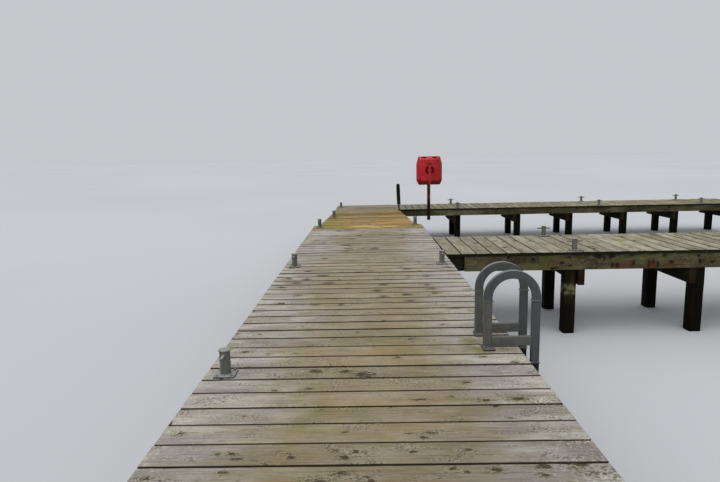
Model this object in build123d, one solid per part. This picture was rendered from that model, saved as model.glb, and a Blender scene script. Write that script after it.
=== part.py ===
from build123d import *
import math
import os

# Lake jetty: a straight walkway, a fresh ramp down to a lower deck, and two fingers to the right.
# Millimetres. X runs right, Y runs out along the walkway, Z is up from the water line.
# Everything is laid out from the walkway's centre line. save() moves it, so that the origin
# is the middle of the whole jetty at the water line.

# Levels
FREEBOARD = 1350
RAMP_H = 270
HIGH = FREEBOARD
LOW = FREEBOARD - RAMP_H

# Timber sizes
BOARD_T = 50
BOARD_PITCH = 216
BOARD_GAP = 16
FINGER_PITCH = 238
OVERHANG = 30
BEAM_W = 75
BEAM_H = 240
LOW_BEAM_H = 190
PILE = 185
CROSS_W = 100
CROSS_H = 250
EDGE_IN = OVERHANG + BEAM_W
PILE_IN = EDGE_IN + PILE / 2

# Level walkway
WALK_HALF = 1200
RAMP_START = 12020
WALK_BOARDS = 47
FRESH_LEVEL_BOARDS = 3
WALK_START = RAMP_START - WALK_BOARDS * BOARD_PITCH + BOARD_GAP
WALK_BAY = 1930
WALK_BAYS = 5
JOIST_X = 360

# Ramp and lower deck
RAMP_GRADIENT = 20
RAMP_RUN = RAMP_GRADIENT * RAMP_H
RAMP_END = RAMP_START + RAMP_RUN
RAMP_LEFT = 115 - WALK_HALF
RAMP_RIGHT = WALK_HALF - 135
RAMP_MID = (RAMP_LEFT + RAMP_RIGHT) / 2
RAMP_BAY = RAMP_RUN / 3
FALL = math.atan2(RAMP_H, RAMP_RUN)
RAMP_LEN = math.hypot(RAMP_H, RAMP_RUN)
RAMP_T = BOARD_T / math.cos(FALL)

# Fingers: the near one off the level walkway, the far one off the lower deck
FINGER_W = 1760
NEAR_Y = 8270
FAR_Y = RAMP_END + 510
WALK_END = FAR_Y + FINGER_W
FINGER_OUT = 1990
NEAR_BAY = 2010
NEAR_BAYS = 4
FAR_BAY = 1850
FAR_DRIFT = [-25, 140, 35, 0, -145, -105]
NEAR_BENTS = [WALK_HALF + FINGER_OUT + i * NEAR_BAY for i in range(NEAR_BAYS + 1)]
FAR_BENTS = [RAMP_RIGHT + FINGER_OUT + i * FAR_BAY + d for i, d in enumerate(FAR_DRIFT)]
PAST_PILE = 370
NEAR_END = NEAR_BENTS[-1] + PAST_PILE
FAR_END = FAR_BENTS[-1] + PAST_PILE
NEAR_SIDES = [1, -1, 1, -1, 1]
FAR_SIDES = [-1, -1, -1, -1, -1, -1]
NEAR_TUCKED = [0]
NEAR_ROW_IN = PILE_IN
FAR_ROW_IN = PILE_IN + 95
SET_BACK = 45
SET_BACK_L = 300

# Mooring bollards
BOLLARD_SIDE_COUNT = 20
PIN_SIDE_COUNT = 10
BOLLARD_R = 38
BOLLARD_H = 190
CAP_R = 44
CAP_T = 8
PLATE = 150
PLATE_T = 10
PIN_R = 12.5
PIN_L = 225
PIN_Z = 150
WALK_IN = 155
FINGER_IN = 130
RAMP_IN = 160
WALK_BOLLARDS = [(-1, 3700), (-1, 7500), (1, 7550), (-1, 11650), (1, 11860)]
RAMP_BOLLARD_Y = 14740
LOW_BOLLARD_Y = 18890
NEAR_BOLLARDS = [3237, 7257, 11277]
FAR_BOLLARDS = [3010, 7705, 11080]

# Ladder with two hooped handrails
HOOP_IN = 61
HOOP_X = WALK_HALF - HOOP_IN
HOOP_Y = [4187, 4530]
HOOP_R = 225
HOOP_BAR = 67
HOOP_DEPTH = 40
LEG_TOP = 385
HOOP_SPRING = 404
COLLAR_T = 12
COLLAR_LIP = 5
FOOT_W = 92
FOOT_FRONT = 98
FOOT_BACK = 30
FOOT_T = 10
CROSSBAR_H = 76
STILE_COLLAR = -130
RUNG_R = 16
RUNG_TOP = -200
RUNG_PITCH = 280
RUNGS = 4
LEG_OFF = HOOP_R - HOOP_BAR / 2

# Lifebuoy housing on its post
POST_OUT = 960
POST_X = RAMP_RIGHT + POST_OUT
POST_W = 100
POST_D = 95
POST_FOOT = -360
POST_TOP = 1560
STRAP_T = 8
STRAP_H = 60
STRAP_L = 300
STRAP_IN = 190
HOUSE_HALF = 411
HOUSE_H = 915
HOUSE_BOTTOM = 812
TOP_HALF = 345
TOP_CUT = 250
FOOT_HALF = 345
FOOT_CUT = 145
CORNER_R = 50
HALF_FOLLOW = 0.7
CUT_FOLLOW = 0.5
TRAY_D = 110
COVER_D = 125
COVER_IN = 77
COVER_RISE = 130
COVER_DROP = 95
COVER_R = 12
RIB_W = 62
RIB_SET = 4
RIB_FOOT = 8
RING_SIDE_COUNT = 32
RING_R = 147
RING_BAND = 64
RING_DEEP = 12
RING_TIE = 90
RING_Z = 472
BAR_W = 124
BAR_H = 34
BAR_Z = 675
SLOT_W = 155
SLOT_X = 172
SLOT_REACH = 65
SLOT_BACK = 93

# Sleeved post beside the foot of the ramp
MARK_X = RAMP_RIGHT - 42
MARK_Y = RAMP_END + 80
STEM_R = 24
STEM_PLATE = 80
LEAN = 2
SLEEVE_R = 59
TIP_R = 42
TIP_H = 60
SLEEVE_BOTTOM = 212
BAND_H = 139
MARK_H = 872

ORIGIN_X = (FAR_END - WALK_HALF) / 2
ORIGIN_Y = (WALK_START + WALK_END) / 2


def box(x0, x1, y0, y1, z0, z1):
    """Solid between two corners."""
    middle = Pos((x0 + x1) / 2, (y0 + y1) / 2, (z0 + z1) / 2)
    return middle * Box(x1 - x0, y1 - y0, z1 - z0)


def upright(x, y, z0, z1, r):
    """Upright round bar."""
    return Pos(x, y, (z0 + z1) / 2) * Cylinder(r, z1 - z0)


def many_sided(z0, z1, r, count):
    """Upright bar of many sides, for the small round pieces that repeat."""
    return extrude(Pos(0, 0, z0) * RegularPolygon(r, count), amount=z1 - z0)


def across(outline, x0, x1):
    """Prism with a Y-Z outline between two X values."""
    face = Plane.YZ.offset(x0) * make_face(Polyline(outline, close=True))
    return extrude(face, amount=x1 - x0)


def solids(shape):
    """The separate solids of a shape or of a list of shapes."""
    if isinstance(shape, list):
        return [s for piece in shape for s in solids(piece)]
    return list(shape.solids())


def save(name, shape):
    """Write one node in the jetty's own frame."""
    pieces = [Pos(-ORIGIN_X, -ORIGIN_Y, 0) * s for s in solids(shape)]
    node = pieces[0] if len(pieces) == 1 else Compound(pieces)
    node.label = name
    export_step(node, "parts/" + name + ".step")


def even_boards(start, end, pitch):
    """Both ends of each board, where the boards fill a length at about the given pitch."""
    count = round((end - start + BOARD_GAP) / pitch)
    step = (end - start + BOARD_GAP) / count
    return [(start + i * step, start + (i + 1) * step - BOARD_GAP) for i in range(count)]


def pile(x, y, top):
    """Square pile down to the water line."""
    h = PILE / 2
    return box(x - h, x + h, y - h, y + h, 0, top)


def joist(x, y0, y1, bottom, top):
    """Timber on edge along the walkway."""
    return box(x - BEAM_W / 2, x + BEAM_W / 2, y0, y1, bottom, top)


def walkway():
    """Level walkway: returns its last boards, which are fresh ones."""
    under = HIGH - BOARD_T
    seat = under - BEAM_H
    reach = WALK_HALF - OVERHANG
    inner = reach - BEAM_W
    rows = [WALK_HALF - PILE_IN, PILE_IN - WALK_HALF]
    bents = [RAMP_START - PILE / 2 - i * WALK_BAY for i in range(WALK_BAYS + 1)]
    save("walkway_piles", [pile(x, y, under) for y in bents for x in rows])
    heads = [y - PILE / 2 for y in bents]
    save("walkway_crossheads", [box(-reach, reach, y - CROSS_W, y, seat - CROSS_H, seat) for y in heads])
    left = box(-reach, -inner, WALK_START, RAMP_START, seat, under)
    right = box(inner, reach, WALK_START, RAMP_START, seat, under)
    save("walkway_edge_beams", [left, right])
    pair = [joist(x, WALK_START, RAMP_START, seat, under) for x in (-JOIST_X, JOIST_X)]
    save("walkway_joists", pair)
    starts = [WALK_START + i * BOARD_PITCH for i in range(WALK_BOARDS)]
    wide = BOARD_PITCH - BOARD_GAP
    boards = [box(-WALK_HALF, WALK_HALF, y, y + wide, under, HIGH) for y in starts]
    save("walkway_boards", boards[:-FRESH_LEVEL_BOARDS])
    return boards[-FRESH_LEVEL_BOARDS:]


def ramp_z(y, depth=0):
    """Height on the ramp at a depth below its walking surface."""
    return HIGH - (y - RAMP_START) / RAMP_GRADIENT - depth


def sloped(x0, x1, y0, y1, top, bottom):
    """Bar along the ramp between two depths below its surface."""
    outline = [(y0, ramp_z(y0, top)), (y1, ramp_z(y1, top))]
    outline += [(y1, ramp_z(y1, bottom)), (y0, ramp_z(y0, bottom))]
    return across(outline, x0, x1)


def bevelled(x0, x1, y0, y1, foot, depth):
    """Level-footed block with its top cut to the ramp's slope."""
    outline = [(y0, foot), (y0, ramp_z(y0, depth)), (y1, ramp_z(y1, depth)), (y1, foot)]
    return across(outline, x0, x1)


def on_ramp(y, piece):
    """Move a piece from level at the origin to the ramp's surface."""
    return Pos(0, y, ramp_z(y)) * Rot(-math.degrees(FALL), 0, 0) * piece


def ramp(level_boards):
    """Ramp between the two decks, with fresh boards."""
    deep = RAMP_T + BEAM_H
    left = RAMP_LEFT + OVERHANG
    right = RAMP_RIGHT - OVERHANG
    h = PILE / 2
    bents = [RAMP_START + RAMP_BAY, RAMP_START + 2 * RAMP_BAY]
    rows = [RAMP_LEFT + PILE_IN, RAMP_RIGHT - PILE_IN]
    piles = [bevelled(x - h, x + h, y - h, y + h, 0, RAMP_T) for y in bents for x in rows]
    save("ramp_piles", piles)
    starts = [RAMP_START] + [y - h - CROSS_W for y in bents] + [RAMP_END - CROSS_W]
    heads = []
    for y in starts:
        foot = ramp_z(y, deep + CROSS_H)
        heads.append(bevelled(left, right, y, y + CROSS_W, foot, deep))
    save("ramp_crossheads", heads)
    beams = [(left, left + BEAM_W), (right - BEAM_W, right)]
    save("ramp_edge_beams", [sloped(a, b, RAMP_START, RAMP_END, RAMP_T, deep) for a, b in beams])
    mids = [RAMP_MID - JOIST_X, RAMP_MID + JOIST_X]
    inner = [(x - BEAM_W / 2, x + BEAM_W / 2) for x in mids]
    save("ramp_joists", [sloped(a, b, RAMP_START, RAMP_END, RAMP_T, deep) for a, b in inner])
    boards = list(level_boards)
    for s0, s1 in even_boards(BOARD_GAP, RAMP_LEN, BOARD_PITCH):
        boards.append(on_ramp(RAMP_START, box(RAMP_LEFT, RAMP_RIGHT, s0, s1, -BOARD_T, 0)))
    save("fresh_boards", boards)


def lower_deck():
    """Level end of the walkway, a ramp's drop lower."""
    under = LOW - BOARD_T
    seat = under - LOW_BEAM_H
    left = RAMP_LEFT + OVERHANG
    right = RAMP_RIGHT - OVERHANG
    stop = WALK_END - EDGE_IN
    h = PILE / 2
    rows = [RAMP_LEFT + PILE_IN, RAMP_RIGHT - PILE_IN]
    bents = [RAMP_END + h, stop - h]
    save("lower_deck_piles", [pile(x, y, under) for y in bents for x in rows])
    heads = [bents[0] + h, bents[1] - h - CROSS_W]
    foot = seat - CROSS_H
    save("lower_deck_crossheads", [box(left, right, y, y + CROSS_W, foot, seat) for y in heads])
    beams = [(left, left + BEAM_W), (right - BEAM_W, right)]
    save("lower_deck_edge_beams", [box(a, b, RAMP_END, stop, seat, under) for a, b in beams])
    mids = [RAMP_MID - JOIST_X, RAMP_MID + JOIST_X]
    save("lower_deck_joists", [joist(x, RAMP_END, stop, seat, under) for x in mids])
    save("lower_deck_end_beam", box(left, right, stop, stop + BEAM_W, seat, under))
    ends = even_boards(RAMP_END + BOARD_GAP, WALK_END, BOARD_PITCH)
    boards = [box(RAMP_LEFT, RAMP_RIGHT, a, b, under, LOW) for a, b in ends]
    save("lower_deck_boards", boards)


def bent(x, side, rows, tops, tucked):
    """Two piles, and the middle of the crosshead on one side of them. Where the second pile is
    tucked, it stands under the crosshead."""
    head = x + side * (PILE + CROSS_W) / 2
    if tucked:
        return head, [pile(x, rows[0], tops[0]), pile(head, rows[1], tops[1])]
    return head, [pile(x, y, tops[0]) for y in rows]


def finger(name, root, y0, end, level, beam_h, bents, sides, row_in, set_back, tucked):
    """Side run off the walkway's right edge. Boards lie across it, bents stand under it.
    Its near beam is thinner on the outside over the set-back length next to the walkway."""
    under = level - BOARD_T
    seat = under - beam_h
    y1 = y0 + FINGER_W
    start = root - OVERHANG
    stop = end - EDGE_IN
    foot = seat - CROSS_H
    rows = [y0 + row_in, y1 - row_in]
    w = CROSS_W / 2
    heads = []
    piles = []
    for i, (x, side) in enumerate(zip(bents, sides)):
        head, pair = bent(x, side, rows, [under, foot], i in tucked)
        heads.append(box(head - w, head + w, y0 + OVERHANG, y1 - OVERHANG, foot, seat))
        piles.append(pair)
    save(name + "_piles", piles)
    save(name + "_crossheads", heads)
    near = y0 + OVERHANG
    far = y1 - EDGE_IN
    beam = box(start, end - OVERHANG, near, near + BEAM_W, seat, under)
    if set_back:
        beam -= box(start, root + set_back, near, near + SET_BACK, seat, under)
    save(name + "_edge_beam_near", beam)
    save(name + "_edge_beam_far", box(start, end - OVERHANG, far, far + BEAM_W, seat, under))
    mid = (y0 + y1) / 2
    save(name + "_joist", box(start, stop, mid - BEAM_W / 2, mid + BEAM_W / 2, seat, under))
    save(name + "_end_beam", box(stop, stop + BEAM_W, near + BEAM_W, far, seat, under))
    boards = [box(a, b, y0, y1, under, level) for a, b in even_boards(root + BOARD_GAP, end, FINGER_PITCH)]
    save(name + "_boards", boards)


def bollard(along_y):
    """Capped tube on a base plate, with a cross pin along the deck's edge."""
    half = PLATE / 2
    post = many_sided(0, BOLLARD_H - CAP_T, BOLLARD_R, BOLLARD_SIDE_COUNT)
    post += many_sided(BOLLARD_H - CAP_T, BOLLARD_H, CAP_R, BOLLARD_SIDE_COUNT)
    post += box(-half, half, -half, half, 0, PLATE_T)
    turn = Rot(90, 0, 0) if along_y else Rot(0, 90, 0)
    return post + Pos(0, 0, PIN_Z) * turn * many_sided(-PIN_L / 2, PIN_L / 2, PIN_R, PIN_SIDE_COUNT)


def bollards():
    """Mooring bollards along every deck edge."""
    x = WALK_HALF - WALK_IN
    save("walkway_bollards", [Pos(side * x, y, HIGH) * bollard(True) for side, y in WALK_BOLLARDS])
    x = RAMP_LEFT + RAMP_IN
    sloping = on_ramp(RAMP_BOLLARD_Y, Pos(x, 0, 0) * bollard(True))
    save("lower_bollards", [sloping, Pos(x, LOW_BOLLARD_Y, LOW) * bollard(True)])
    runs = [("near_finger", NEAR_BOLLARDS, NEAR_Y, HIGH), ("far_finger", FAR_BOLLARDS, FAR_Y, LOW)]
    for name, xs, y0, z in runs:
        ys = [y0 + FINGER_IN, y0 + FINGER_W - FINGER_IN]
        save(name + "_bollards", [Pos(x, y, z) * bollard(False) for x in xs for y in ys])


def arch(y):
    """Half hoop that stands square to the deck's edge."""
    ring = Cylinder(HOOP_R, HOOP_DEPTH) - Cylinder(HOOP_R - HOOP_BAR, HOOP_DEPTH)
    ring = Pos(HOOP_X, y, HIGH + HOOP_SPRING) * Rot(90, 0, 0) * ring
    d = HOOP_DEPTH / 2
    keep = box(HOOP_X - HOOP_R, HOOP_X + HOOP_R, y - d, y + d, HIGH + HOOP_SPRING, HIGH + 2 * HOOP_SPRING)
    piece = ring & keep
    w = HOOP_BAR / 2
    for x in (HOOP_X - LEG_OFF, HOOP_X + LEG_OFF):
        piece += box(x - w, x + w, y - d, y + d, HIGH + LEG_TOP, HIGH + HOOP_SPRING)
    return piece


def leg(x, y, bottom, collars):
    """Box-section upright with thin collars at the given heights of their tops."""
    w = HOOP_BAR / 2
    d = HOOP_DEPTH / 2
    piece = box(x - w, x + w, y - d, y + d, bottom, HIGH + LEG_TOP)
    w += COLLAR_LIP
    d += COLLAR_LIP
    for top in collars:
        piece += box(x - w, x + w, y - d, y + d, HIGH + top - COLLAR_T, HIGH + top)
    return piece


def ladder():
    """Ladder over the deck's edge with two hooped handrails."""
    inner = HOOP_X - LEG_OFF
    outer = HOOP_X + LEG_OFF
    d = HOOP_DEPTH / 2
    save("ladder_arches", [arch(y) for y in HOOP_Y])
    save("ladder_inner_legs", [leg(inner, y, HIGH + FOOT_T, [LEG_TOP]) for y in HOOP_Y])
    save("ladder_stiles", [leg(outer, y, 0, [LEG_TOP, STILE_COLLAR]) for y in HOOP_Y])
    bars = []
    feet = []
    for y in HOOP_Y:
        z = HIGH + FOOT_T
        w = HOOP_BAR / 2
        bars.append(box(inner + w, outer - w, y - d, y + d, z, z + CROSSBAR_H))
        f = FOOT_W / 2
        feet.append(box(inner - f, inner + f, y - FOOT_FRONT, y + FOOT_BACK, HIGH, z))
    save("ladder_crossbars", bars)
    save("ladder_feet", feet)
    rungs = []
    length = HOOP_Y[1] - HOOP_Y[0] - HOOP_DEPTH
    for i in range(RUNGS):
        z = HIGH + RUNG_TOP - i * RUNG_PITCH
        middle = Pos(outer, (HOOP_Y[0] + HOOP_Y[1]) / 2, z)
        rungs.append(middle * Rot(90, 0, 0) * Cylinder(RUNG_R, length))
    save("ladder_rungs", rungs)


def housing_outline(inset, rise, drop):
    """Rounded eight-sided outline, narrower by the inset, higher at its foot by the rise and
    lower at its top by the drop."""
    side = HOUSE_HALF - inset
    top = TOP_HALF - inset * HALF_FOLLOW
    foot = FOOT_HALF - inset * HALF_FOLLOW
    low = FOOT_CUT + rise * CUT_FOLLOW
    high = HOUSE_H - TOP_CUT - drop * CUT_FOLLOW
    right = [(foot, rise), (side, low), (side, high), (top, HOUSE_H - drop)]
    left = [(-x, z) for x, z in reversed(right)]
    face = make_face(Polyline(right + left, close=True))
    return fillet(face.vertices(), CORNER_R)


def housing():
    """Moulded lifebuoy housing: a back tray and a domed cover with its ring sunk in."""
    back = FAR_Y - POST_D - STRAP_T
    seam = back - TRAY_D
    front = seam - COVER_D
    place = Pos(POST_X, 0, LOW + HOUSE_BOTTOM)
    outline = housing_outline(0, 0, 0)
    tray = extrude(Plane.XZ.offset(-back) * outline, amount=TRAY_D)
    save("lifebuoy_housing_back", place * tray)
    inner = Plane.XZ.offset(-front) * housing_outline(COVER_IN, COVER_RISE, COVER_DROP)
    cover = loft([Plane.XZ.offset(-seam) * outline, inner])
    rim = cover.faces().sort_by(Axis.Y)[0].edges()
    cover = chamfer(rim, COVER_R)
    ring = many_sided(-RING_DEEP, RING_DEEP, RING_R, RING_SIDE_COUNT)
    ring -= many_sided(-RING_DEEP, RING_DEEP, RING_R - RING_BAND, RING_SIDE_COUNT)
    ring -= Box(RING_TIE, 2 * RING_R, 2 * RING_DEEP)
    cover -= Pos(0, front, RING_Z) * Rot(90, 0, 0) * ring
    cover -= Pos(0, front, BAR_Z) * Box(BAR_W, 2 * RING_DEEP, BAR_H)
    for x in (-SLOT_X, SLOT_X):
        slot_foot = HOUSE_H - SLOT_REACH
        cover -= box(x - SLOT_W / 2, x + SLOT_W / 2, front, front + SLOT_BACK, slot_foot, HOUSE_H)
    top = COVER_RISE + COVER_R
    cover += box(-RIB_W / 2, RIB_W / 2, front + RIB_SET, seam, RIB_FOOT, top)
    save("lifebuoy_housing_cover", place * cover)


def lifebuoy():
    """Post on the far finger's near side, with the housing strapped to it."""
    x0 = POST_X - POST_W / 2
    x1 = POST_X + POST_W / 2
    face = FAR_Y - POST_D
    save("lifebuoy_post", box(x0, x1, face, FAR_Y, LOW + POST_FOOT, LOW + POST_TOP))
    under = LOW - BOARD_T
    save("lifebuoy_post_packer", box(x0, x1, FAR_Y, FAR_Y + OVERHANG, under - LOW_BEAM_H, under))
    half = STRAP_L / 2
    low = LOW + HOUSE_BOTTOM + STRAP_IN
    high = LOW + POST_TOP - STRAP_H - OVERHANG
    straps = [box(POST_X - half, POST_X + half, face - STRAP_T, face, z, z + STRAP_H) for z in (low, high)]
    save("lifebuoy_straps", straps)
    housing()


def sleeved_post():
    """Thin stem with a plastic sleeve, beside the foot of the ramp. It leans over the walkway."""
    place = Pos(MARK_X, MARK_Y, LOW)
    half = STEM_PLATE / 2
    lean = Rot(0, -LEAN, 0)
    stem = lean * upright(0, 0, PLATE_T / 2, SLEEVE_BOTTOM, STEM_R)
    stem += box(-half, half, -half, half, 0, PLATE_T)
    save("sleeved_post_stem", place * stem)
    z = SLEEVE_BOTTOM
    save("sleeved_post_band", place * lean * upright(0, 0, z, z + BAND_H, SLEEVE_R))
    z += BAND_H
    sleeve = upright(0, 0, z, MARK_H - TIP_H, SLEEVE_R)
    sleeve += Pos(0, 0, MARK_H - TIP_H / 2) * Cone(SLEEVE_R, TIP_R, TIP_H)
    save("sleeved_post_sleeve", place * lean * sleeve)


os.makedirs("parts", exist_ok=True)
ramp(walkway())
lower_deck()
finger("near_finger", WALK_HALF, NEAR_Y, NEAR_END, HIGH, BEAM_H, NEAR_BENTS, NEAR_SIDES, NEAR_ROW_IN,
       SET_BACK_L, NEAR_TUCKED)
finger("far_finger", RAMP_RIGHT, FAR_Y, FAR_END, LOW, LOW_BEAM_H, FAR_BENTS, FAR_SIDES, FAR_ROW_IN, 0, [])
bollards()
ladder()
lifebuoy()
sleeved_post()
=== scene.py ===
import bmesh
import bpy
import math
import random
from mathutils import Matrix, Vector, noise


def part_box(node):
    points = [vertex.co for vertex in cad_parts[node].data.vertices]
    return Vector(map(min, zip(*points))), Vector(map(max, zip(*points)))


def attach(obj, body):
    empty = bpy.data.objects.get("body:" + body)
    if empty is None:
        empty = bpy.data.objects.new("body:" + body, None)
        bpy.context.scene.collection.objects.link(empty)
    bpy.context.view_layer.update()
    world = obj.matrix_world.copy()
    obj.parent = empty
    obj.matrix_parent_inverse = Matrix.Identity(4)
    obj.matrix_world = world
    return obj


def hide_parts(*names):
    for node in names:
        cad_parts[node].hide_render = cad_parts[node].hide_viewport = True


# Looks of a timber lake jetty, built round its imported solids. Metres, in the part's own frame.

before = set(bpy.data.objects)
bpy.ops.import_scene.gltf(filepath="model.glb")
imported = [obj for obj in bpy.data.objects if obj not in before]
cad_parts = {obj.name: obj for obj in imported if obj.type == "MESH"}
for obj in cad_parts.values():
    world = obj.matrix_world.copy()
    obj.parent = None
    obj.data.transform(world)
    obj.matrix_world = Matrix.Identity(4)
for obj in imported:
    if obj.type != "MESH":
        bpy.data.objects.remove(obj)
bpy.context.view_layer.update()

# Places taken from the solids
DECK_LOW, DECK_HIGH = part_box("walkway_boards")
DECK_Z = DECK_HIGH[2]
MID_X = (DECK_LOW[0] + DECK_HIGH[0]) / 2
HALF_W = (DECK_HIGH[0] - DECK_LOW[0]) / 2
START_Y = DECK_LOW[1]
LOWER_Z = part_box("lower_deck_boards")[1][2]
BEAM_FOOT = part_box("near_finger_edge_beam_near")[0][2]
RAMP_START_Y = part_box("ramp_edge_beams")[0][1]
HOUSE_LOW, HOUSE_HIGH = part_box("lifebuoy_housing_back")
HOUSE_X = (HOUSE_LOW[0] + HOUSE_HIGH[0]) / 2
SLOPE = 1 / 20
FALL = math.atan(SLOPE)

# Camera
CAMERA_SIDE = 0.003
CAMERA_BACK = 1.884
CAMERA_UP = 1.551
CAMERA_YAW = 0.886
CAMERA_PITCH = 9.067
CAMERA_ROLL = -1.181
LENS = 27.01

# Corners of a solid nearer than this are one
WELD = 0.0002
QUARTER = math.pi / 2
# Smooth random value at a place, -1 to 1
wave = noise.noise


def srgb(r, g, b):
    """Linear colour of an 8-bit screen colour."""
    out = []
    for c in (r, g, b):
        c /= 255
        out.append(c / 12.92 if c <= 0.04045 else ((c + 0.055) / 1.055) ** 2.4)
    return tuple(out)


def smooth(a, b, x):
    """0 below a, 1 above b, and a smooth step between."""
    t = min(1, max(0, (x - a) / (b - a)))
    return t * t * (3 - 2 * t)


class Shader:
    """A material under construction. Three numbers for a colour are its 8-bit screen colour."""

    def __init__(self, name, shine=0.5):
        self.material = bpy.data.materials.new(name)
        self.material.use_nodes = True
        self.tree = self.material.node_tree
        self.surface = self.tree.nodes["Principled BSDF"]
        self.surface.inputs["Specular IOR Level"].default_value = shine

    def put(self, socket, value):
        """Link a socket to another node's output, or set it."""
        if isinstance(value, bpy.types.NodeSocket):
            self.tree.links.new(value, socket)
        elif socket.type == "RGBA" and len(value) == 3:
            socket.default_value = (*srgb(*value), 1)
        else:
            socket.default_value = value

    def add(self, kind, values, **options):
        """Add a node with these options and socket values, and give its outputs."""
        node = self.tree.nodes.new("ShaderNode" + kind)
        for name, value in options.items():
            setattr(node, name, value)
        for key, value in values.items():
            self.put(node.inputs[key], value)
        return node.outputs

    def attribute(self, name):
        return self.add("Attribute", {}, attribute_name=name)["Vector"]

    def place(self):
        return self.add("TexCoord", {})["Object"]

    def parts(self, vector):
        return self.add("SeparateXYZ", {0: vector})

    def up(self):
        """How far the surface faces up, -1 to 1."""
        return self.parts(self.add("NewGeometry", {})["Normal"])[2]

    def vector(self, *values):
        return self.add("CombineXYZ", dict(enumerate(values)))[0]

    def stretch(self, vector, scale):
        return self.add("Mapping", {"Vector": vector, "Scale": scale})[0]

    def noise(self, vector, scale=1.0, detail=4.0, rough=0.55):
        values = {"Vector": vector, "Scale": scale, "Detail": detail, "Roughness": rough}
        return self.add("TexNoise", values)["Fac"]

    def cells(self, vector, scale=1.0, kind="2D"):
        """Distance to the middle of the nearest cell, and that cell's own colour."""
        out = self.add("TexVoronoi", {"Vector": vector, "Scale": scale}, voronoi_dimensions=kind)
        return out["Distance"], out["Color"]

    def calc(self, kind, a, b=0.0):
        return self.add("Math", {0: a, 1: b}, operation=kind)[0]

    def times(self, a, b):
        return self.calc("MULTIPLY", a, b)

    def plus(self, a, b):
        return self.calc("ADD", a, b)

    def most(self, a, b):
        return self.calc("MAXIMUM", a, b)

    def span(self, value, low, high, start=0.0, end=1.0):
        """Smooth step from start to end, while the value goes from low to high."""
        values = {"Value": value, "From Min": low, "From Max": high, "To Min": start, "To Max": end}
        return self.add("MapRange", values, interpolation_type="SMOOTHSTEP")["Result"]

    def fall(self, value, low, high):
        """1 below low, 0 above high."""
        return self.span(value, low, high, 1.0, 0.0)

    def ramp(self, value, stops):
        node = self.tree.nodes.new("ShaderNodeValToRGB")
        points = node.color_ramp.elements
        while len(points) < len(stops):
            points.new(0.5)
        for point, (place, colour) in zip(points, stops):
            point.position = place
            point.color = (*srgb(*colour), 1)
        self.put(node.inputs[0], value)
        return node.outputs[0]

    def mix(self, amount, a, b, kind="MIX"):
        return self.add("Mix", {0: amount, 6: a, 7: b}, data_type="RGBA", blend_type=kind)[2]

    def bump(self, height, strength, depth, **under):
        """Raised surface, over another one if that is given as its Normal."""
        return self.add("Bump", {"Height": height, "Strength": strength, "Distance": depth, **under})[0]

    def finish(self, colour, rough, **normal):
        """Fill the surface's sockets and give the material."""
        for key, value in {"Base Color": colour, "Roughness": rough, **normal}.items():
            self.put(self.surface.inputs[key], value)
        return self.material


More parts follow.
